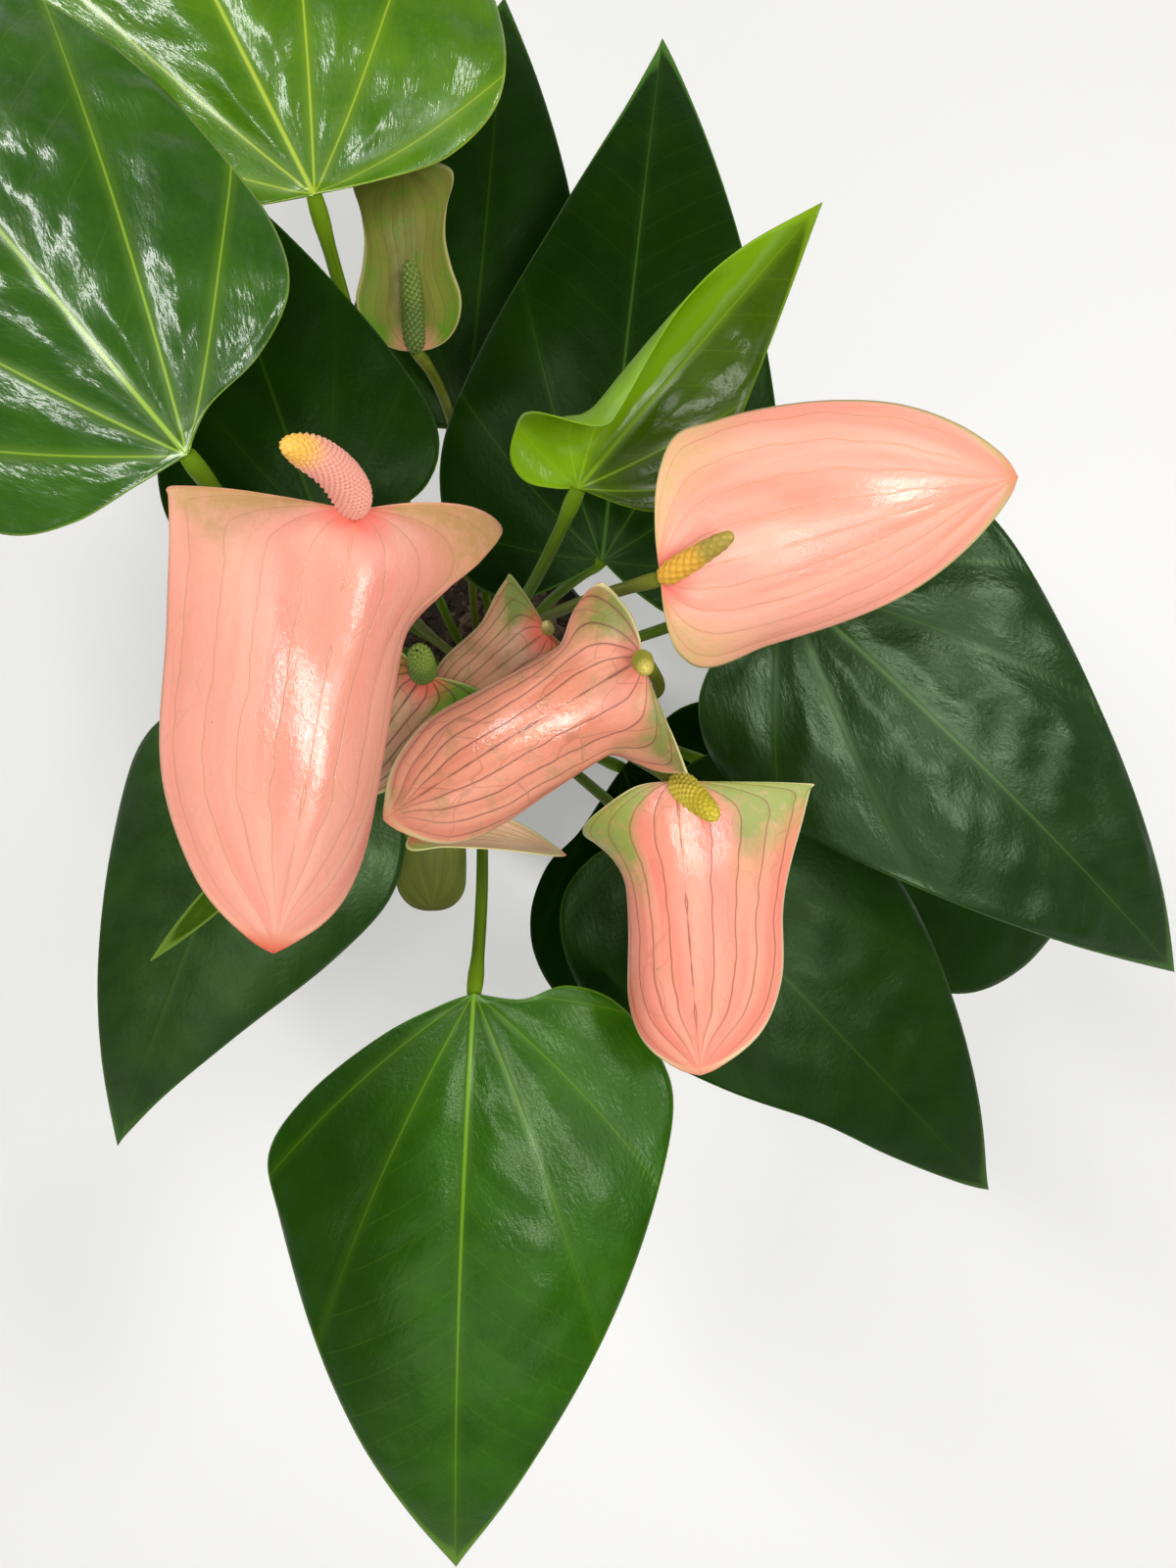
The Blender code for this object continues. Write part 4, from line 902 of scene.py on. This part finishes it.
def leaf_material(name, looks):
    """The upper face of a leaf: softly mottled green, pale veins, a thin pale margin, waxy gloss."""
    skin = Surface(name + "_upper", Specular_IOR_Level=looks.shine, Specular_Tint=looks.glint,
                   Coat_Weight=looks.wax, Coat_Roughness=WAX_ROUGHNESS)
    x, y, along = skin.field("flat")
    to_margin = skin.field("sheet")[2]
    fans = skin.field("fans")
    side_veins, inside, nearest = skin.field("side")
    place = skin.vector(x, y)
    fine = skin.noise(place, 0.6, 3.0, 0.6)
    skin.paint(looks.deep)
    skin.tint(skin.ramp(skin.noise(place, 0.030, 3.0, 0.6), 0.15, 0.90), looks.fresh)
    skin.tint(skin.ramp(fine, 0.3, 0.8, 0.0, 0.25), looks.fresh)
    # Painted light and shade on one half of the blade: a darker green on leaf_01, a paler green on
    # leaf_07 where light shines through
    skin.tint(skin.ramp(x, *looks.tint_from, 0.0, looks.tint_share), looks.tint)
    skin.tint(skin.ramp(nearest, 3.0, 0.3, 0.0, 0.14 * looks.fan_share), looks.vein)

    # The midrib, the veins that fan out and the side veins, all finer towards the tip
    fade = skin.ramp(along, 1.0, 0.0, 0.25, 1.0)
    short = skin.ramp(along, looks.fan_reach, 0.0, 0.12, 1.0)
    rib = skin.ramp(skin.size(x), skin.times(fade, 0.95), 0.20)
    veins = skin.times(rib, fade, looks.rib_share)
    for index, fan in enumerate(fans):
        line = skin.ramp(skin.size(fan), skin.times(fade, 0.55 - 0.10 * index), 0.10)
        share = skin.times(short, (0.95 - 0.25 * index) * looks.fan_share)
        veins = skin.largest(veins, skin.times(line, share))
    side = skin.ramp(skin.off_whole(side_veins), 0.030, 0.0)
    side = skin.times(side, inside, looks.fine_share)
    skin.tint(skin.largest(veins, side), looks.vein)
    skin.tint(skin.ramp(to_margin, 0.7, 0.2, 0.0, 0.45), looks.vein)

    # Gloss and fine creases run with the side veins
    swept = skin.vector(fans[0], skin.times(y, 0.40))
    skin.set("Roughness", skin.ramp(skin.noise(swept, 0.12, 4.0, 0.65), 0.3, 0.7,
                                    looks.roughness * 0.85, looks.roughness * 1.15))
    folds = skin.noise(swept, 0.26, 3.0, 0.55)
    ridge = skin.size(skin.calc("MULTIPLY_ADD", folds, 4.0, -2.0))
    ridge = skin.times(skin.calc("MINIMUM", ridge, 1.0), looks.crease)
    height = skin.calc("ADD", ridge, skin.times(fine, looks.grain))
    skin.bump(skin.times(height, skin.ramp(nearest, 0.8, 3.0)), LEAF_BUMP, 0.8)
    return skin.made


def underside_material(name, looks):
    """The lower face of a leaf or spathe: paler and more matt."""
    skin = Surface(name + "_lower", Roughness=0.5)
    x, y, along = skin.field("flat")
    place = skin.vector(x, y)
    dim = scaled(looks.under, 0.75)
    skin.paint(looks.under)
    skin.tint(skin.ramp(skin.noise(place, 0.08, 3.0), 0.3, 0.7), dim)
    skin.tint(skin.ramp(along, 0.30, 0.05), getattr(looks, "under_base", dim))
    skin.tint(skin.ramp(skin.size(x), 1.6, 0.4, 0.0, 0.6), scaled(looks.under, 1.6))
    skin.bump(skin.noise(place, 0.5, 3.0), UNDERSIDE_BUMP, 0.6)
    return skin.made


def spathe_material(name, looks):
    """The upper face of a spathe: waxy, veined from base to tip, with its lobes and rim tinted."""
    skin = Surface(name + "_upper", Specular_IOR_Level=looks.shine)
    x, y, along = skin.field("flat")
    u, v, half = skin.field("sheet")
    place = skin.vector(x, y)
    out = skin.size(u)
    reach = skin.calc("SQRT", skin.calc("ADD", skin.times(x, x), skin.times(y, y)))
    bands = skin.noise(skin.vector(skin.times(u, 2.6), v), 1.5, 3.0, 0.5)
    blotch = skin.noise(place, 0.22, 4.0, 0.65)
    skin.paint(looks.body)
    skin.tint(skin.ramp(bands, 0.30, 0.70), looks.deep)
    lobe = skin.times(skin.ramp(v, looks.lobe_end + 0.15, looks.lobe_end - 0.15),
                      skin.ramp(out, *looks.lobe_from),
                      skin.ramp(blotch, 0.30, 0.70, 0.60, 1.20), looks.lobe_share)
    skin.tint(skin.node("ShaderNodeClamp", {0: lobe}), looks.lobe)
    stain = skin.noise(place, 0.10, 4.0, 0.7)
    skin.tint(skin.ramp(stain, 0.48, 0.68, 0.0, looks.stain), looks.lobe)
    skin.tint(skin.ramp(reach, 12.0, 2.0, 0.0, 0.85), looks.blush)

    # Veins run from base to tip, with a fine net between them
    swing = skin.noise(skin.vector(skin.times(x, 0.3), y), 0.06, 2.0)
    lane = skin.calc("MULTIPLY_ADD", skin.calc("SUBTRACT", swing, 0.5), 0.55,
                     skin.times(out, SPATHE_VEINS))
    apart = skin.times(skin.off_whole(lane), half, 1 / SPATHE_VEINS)
    wander = skin.noise(place, 0.07, 1.0)
    bent = skin.vector(skin.calc("MULTIPLY_ADD", wander, 9.0, x),
                       skin.calc("MULTIPLY_ADD", wander, 9.0, skin.times(y, 0.5)))
    net = skin.cells(bent, 0.09, feature="DISTANCE_TO_EDGE")
    veins = skin.largest(skin.ramp(apart, 0.70, 0.05, 0.0, 0.35), skin.ramp(apart, 0.26, 0.06),
                         skin.ramp(net, 0.022, 0.004, 0.0, looks.network * 3))
    veins = skin.times(veins, skin.ramp(reach, 1.0, 6.0, 0.3, 1.0),
                       skin.ramp(along, 1.0, 0.70, 0.15, 1.0))
    skin.tint(skin.times(veins, looks.vein_share), looks.vein)
    specks = skin.times(skin.ramp(skin.cells(place, 0.11), 0.040, 0.020),
                        skin.ramp(blotch, 0.56, 0.62), 0.6)
    skin.tint(specks, display(SPECK_BROWN))
    to_margin = skin.times(skin.calc("SUBTRACT", 1.0, out), half)
    skin.tint(skin.ramp(to_margin, 1.0, 0.3, 0.0, 0.8), looks.edge)
    skin.tint(skin.ramp(along, 0.93, 0.99, 0.0, 0.9), looks.tip)

    # The wax is glossy on the middle of the spathe and matt near its base, sides and tip
    gloss = skin.ramp(blotch, 0.3, 0.7, looks.roughness * 0.8, looks.roughness * 1.2)
    until, start = looks.matt_until, looks.matt_from
    matt = skin.largest(skin.ramp(v, until + 0.08, until - 0.08, 0.0, MATT_WAX),
                        skin.ramp(out, 0.26, 0.48, 0.0, MATT_WAX),
                        skin.ramp(v, start - 0.08, start + 0.08, 0.0, MATT_WAX))
    skin.set("Roughness", skin.calc("ADD", gloss, matt))
    crackle = skin.noise(skin.vector(x, skin.times(y, 0.5)), 0.90, 3.0, 0.65)
    skin.bump(skin.calc("SUBTRACT", crackle, skin.times(veins, 0.4)), SPATHE_BUMP, 0.9)
    return skin.made


def spadix_material(name, looks):
    """Florets: paler on their crowns, with painted shade in the gaps, another colour towards the spadix's
    tip.
    """
    skin = Surface(name + "_florets", Roughness=0.55)
    share, dome, nib = skin.field("floret")
    turned = skin.ramp(share, looks.turn - 0.12, looks.turn + 0.10)
    skin.paint(looks.low)
    skin.tint(turned, looks.high)
    # Painted shade in the gaps between the florets, less of it towards a calm tip
    gap_shade_kept = skin.calc("SUBTRACT", 1.0, skin.times(turned, looks.calm))
    skin.tint(skin.times(skin.ramp(dome, 0.7, 0.1), gap_shade_kept), looks.gap)
    bright = tuple(min(part * 1.35 + 0.03, 1.0) for part in looks.low)
    skin.tint(skin.times(nib, 0.35), bright)
    return skin.made


def stalk_material(name, green):
    """A stalk: green, streaked lengthwise, paler at the swelling below the blade."""
    skin = Surface(name + "_skin", Roughness=0.50, Specular_IOR_Level=0.1,
                   Specular_Tint=STALK_GLINT)
    share, swelling, angle = skin.field("stalk")
    around = skin.vector(skin.times(skin.calc("COSINE", angle), 2.0),
                         skin.times(skin.calc("SINE", angle), 2.0), skin.times(share, 5.0))
    streak = skin.noise(around, 1.6, 3.0, 0.6)
    tone = display(green)
    skin.paint(scaled(tone, 0.6))
    skin.tint(skin.ramp(streak, 0.3, 0.7), tone)
    skin.tint(skin.times(swelling, 0.6), scaled(tone, 1.5))
    skin.bump(streak, STALK_BUMP, 0.6)
    return skin.made


def pot_material():
    """Black moulded plastic, a little uneven in its shine."""
    skin = Surface("nursery_pot_plastic")
    place = skin.place()
    patch = skin.noise(place, 60.0, 4.0)
    skin.paint(POT_BLACK)
    skin.tint(skin.ramp(patch, 0.35, 0.7), POT_GREY)
    skin.set("Roughness", skin.ramp(patch, 0.3, 0.7, 0.38, 0.55))
    skin.bump(skin.noise(place, 2400.0, 2.0), POT_BUMP, 0.5)
    return skin.made


def bark_material(name, tones, scale):
    """Bark and peat: broken dark and mid browns with a coarse grain."""
    skin = Surface(name, Roughness=0.92)
    place = skin.place()
    grain = skin.noise(place, scale * 2.5, 4.0, 0.7)
    dark, middle, light = map(display, tones)
    crumbs = skin.node("ShaderNodeSeparateColor", {0: skin.cells(place, scale, 1)})
    skin.paint(dark)
    skin.tint(crumbs, middle)
    skin.tint(skin.ramp(grain, 0.4, 0.75, 0.0, 0.7), light)
    skin.bump(grain, BARK_BUMP, 1.0)
    return skin.made


def make_bark():
    """Loose chips of bark, scattered on the growing medium."""
    draw = np.random.default_rng(11)
    corners = np.array([(x, y, z) for z in (-1, 1) for x, y in ((-1, -1), (1, -1), (1, 1), (-1, 1))])
    sides = ((3, 2, 1, 0), (4, 5, 6, 7), (0, 1, 5, 4), (1, 2, 6, 5), (2, 3, 7, 6), (3, 0, 4, 7))
    vertices, faces, indices = [], [], []
    for chip in range(BARK_CHIPS):
        reach = MEDIUM_RADIUS * math.sqrt(draw.uniform(0.0, 1.0))
        turn = draw.uniform(0, math.tau)
        size = np.array([draw.uniform(*limits) for limits in CHIP_SIZES]) * MM
        shape = corners * size * draw.uniform(*CHIP_UNEVENNESS, (8, 3))
        tilt = Matrix.Rotation(draw.uniform(0, math.tau), 3, "Z")
        tilt = tilt @ Matrix.Rotation(draw.normal(0, CHIP_TILT), 3, "X")
        tilt = tilt @ Matrix.Rotation(draw.normal(0, CHIP_TILT), 3, "Y")
        height = MEDIUM_TOP + draw.uniform(0.0, CHIP_RISE) * MM
        place = np.array((reach * math.cos(turn), reach * math.sin(turn), height))
        vertices.append(shape @ np.array(tilt).T + place)
        faces += [tuple(chip * 8 + index for index in side) for side in sides]
        indices += [chip % len(CHIP_TONES)] * 6
    surfaces = [bark_material(f"bark_chip_{index}", tones, CHIP_GRAIN)
                for index, tones in enumerate(CHIP_TONES)]
    made = add_object("bark_chips", np.concatenate(vertices), faces, indices, surfaces, {})
    for face in made.data.polygons:
        face.use_smooth = False
    bevel = made.modifiers.new("Worn", "BEVEL")
    bevel.width = CHIP_WEAR
    bevel.segments = 1
    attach(made, BODY)


def dress(node, surface):
    """Gives a CAD node that stays in view its detailed material."""
    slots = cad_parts[node].material_slots
    for slot in slots:
        slot.material = surface
    if not slots:
        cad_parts[node].data.materials.append(surface)


def make_floor():
    """A plain pale floor."""
    mesh = bpy.data.meshes.new("floor")
    corners = [(x * FLOOR_REACH, y * FLOOR_REACH, 0) for x, y in ((-1, -1), (1, -1), (1, 1), (-1, 1))]
    mesh.from_pydata(corners, [], [(0, 1, 2, 3)])
    mesh.materials.append(Surface("pale_floor", Base_Color=FLOOR_COLOUR, Roughness=0.9).made)
    linked("floor", mesh)


def make_world():
    """Faint light from all round, brighter towards the horizon."""
    world = bpy.data.worlds.new("studio")
    world.use_nodes = True
    nodes, links = world.node_tree.nodes, world.node_tree.links
    direction = nodes.new("ShaderNodeTexCoord")
    split = nodes.new("ShaderNodeSeparateXYZ")
    fade = nodes.new("ShaderNodeMapRange")
    fade.inputs["From Max"].default_value = HORIZON_FADE
    fade.inputs["To Min"].default_value = HORIZON_STRENGTH
    fade.inputs["To Max"].default_value = WORLD_STRENGTH
    nodes["Background"].inputs["Color"].default_value = WORLD_COLOUR
    links.new(direction.outputs["Generated"], split.inputs[0])
    links.new(split.outputs["Z"], fade.inputs["Value"])
    links.new(fade.outputs["Result"], nodes["Background"].inputs["Strength"])
    bpy.context.scene.world = world


def make_lamp(name, place, size, turn, power, colour):
    """A soft box that looks at the plant."""
    light = bpy.data.lights.new(name, "AREA")
    light.shape = "RECTANGLE"
    light.size, light.size_y = size
    light.energy = power
    light.color = colour
    lamp = linked(name, light)
    lamp.location = place
    aim = (Vector(LAMP_AIM) - lamp.location).to_track_quat("-Z", "Y").to_matrix()
    lamp.rotation_euler = (aim @ Matrix.Rotation(math.radians(turn), 3, "Z")).to_euler()


def make_camera():
    """The camera, looking straight down, and colours shown as they are."""
    scene = bpy.context.scene
    camera = bpy.data.cameras.new("camera")
    camera.sensor_width = SENSOR
    camera.lens = SENSOR * FOCAL_IN_PIXELS / FRAME_LONG_SIDE
    camera.clip_start = 0.01
    scene.camera = linked("camera", camera)
    scene.camera.location = CAMERA_PLACE
    scene.view_settings.view_transform = "Standard"
    scene.view_settings.look = "None"


make_floor()
make_world()
for lamp in LAMPS:
    make_lamp(*lamp)
make_camera()
for leaf in LEAVES:
    make_leaf(*leaf)
for bloom in BLOOMS:
    make_bloom(*bloom)
dress("pot", pot_material())
dress("growing_medium", bark_material("peat", PEAT_TONES, PEAT_GRAIN))
make_bark()
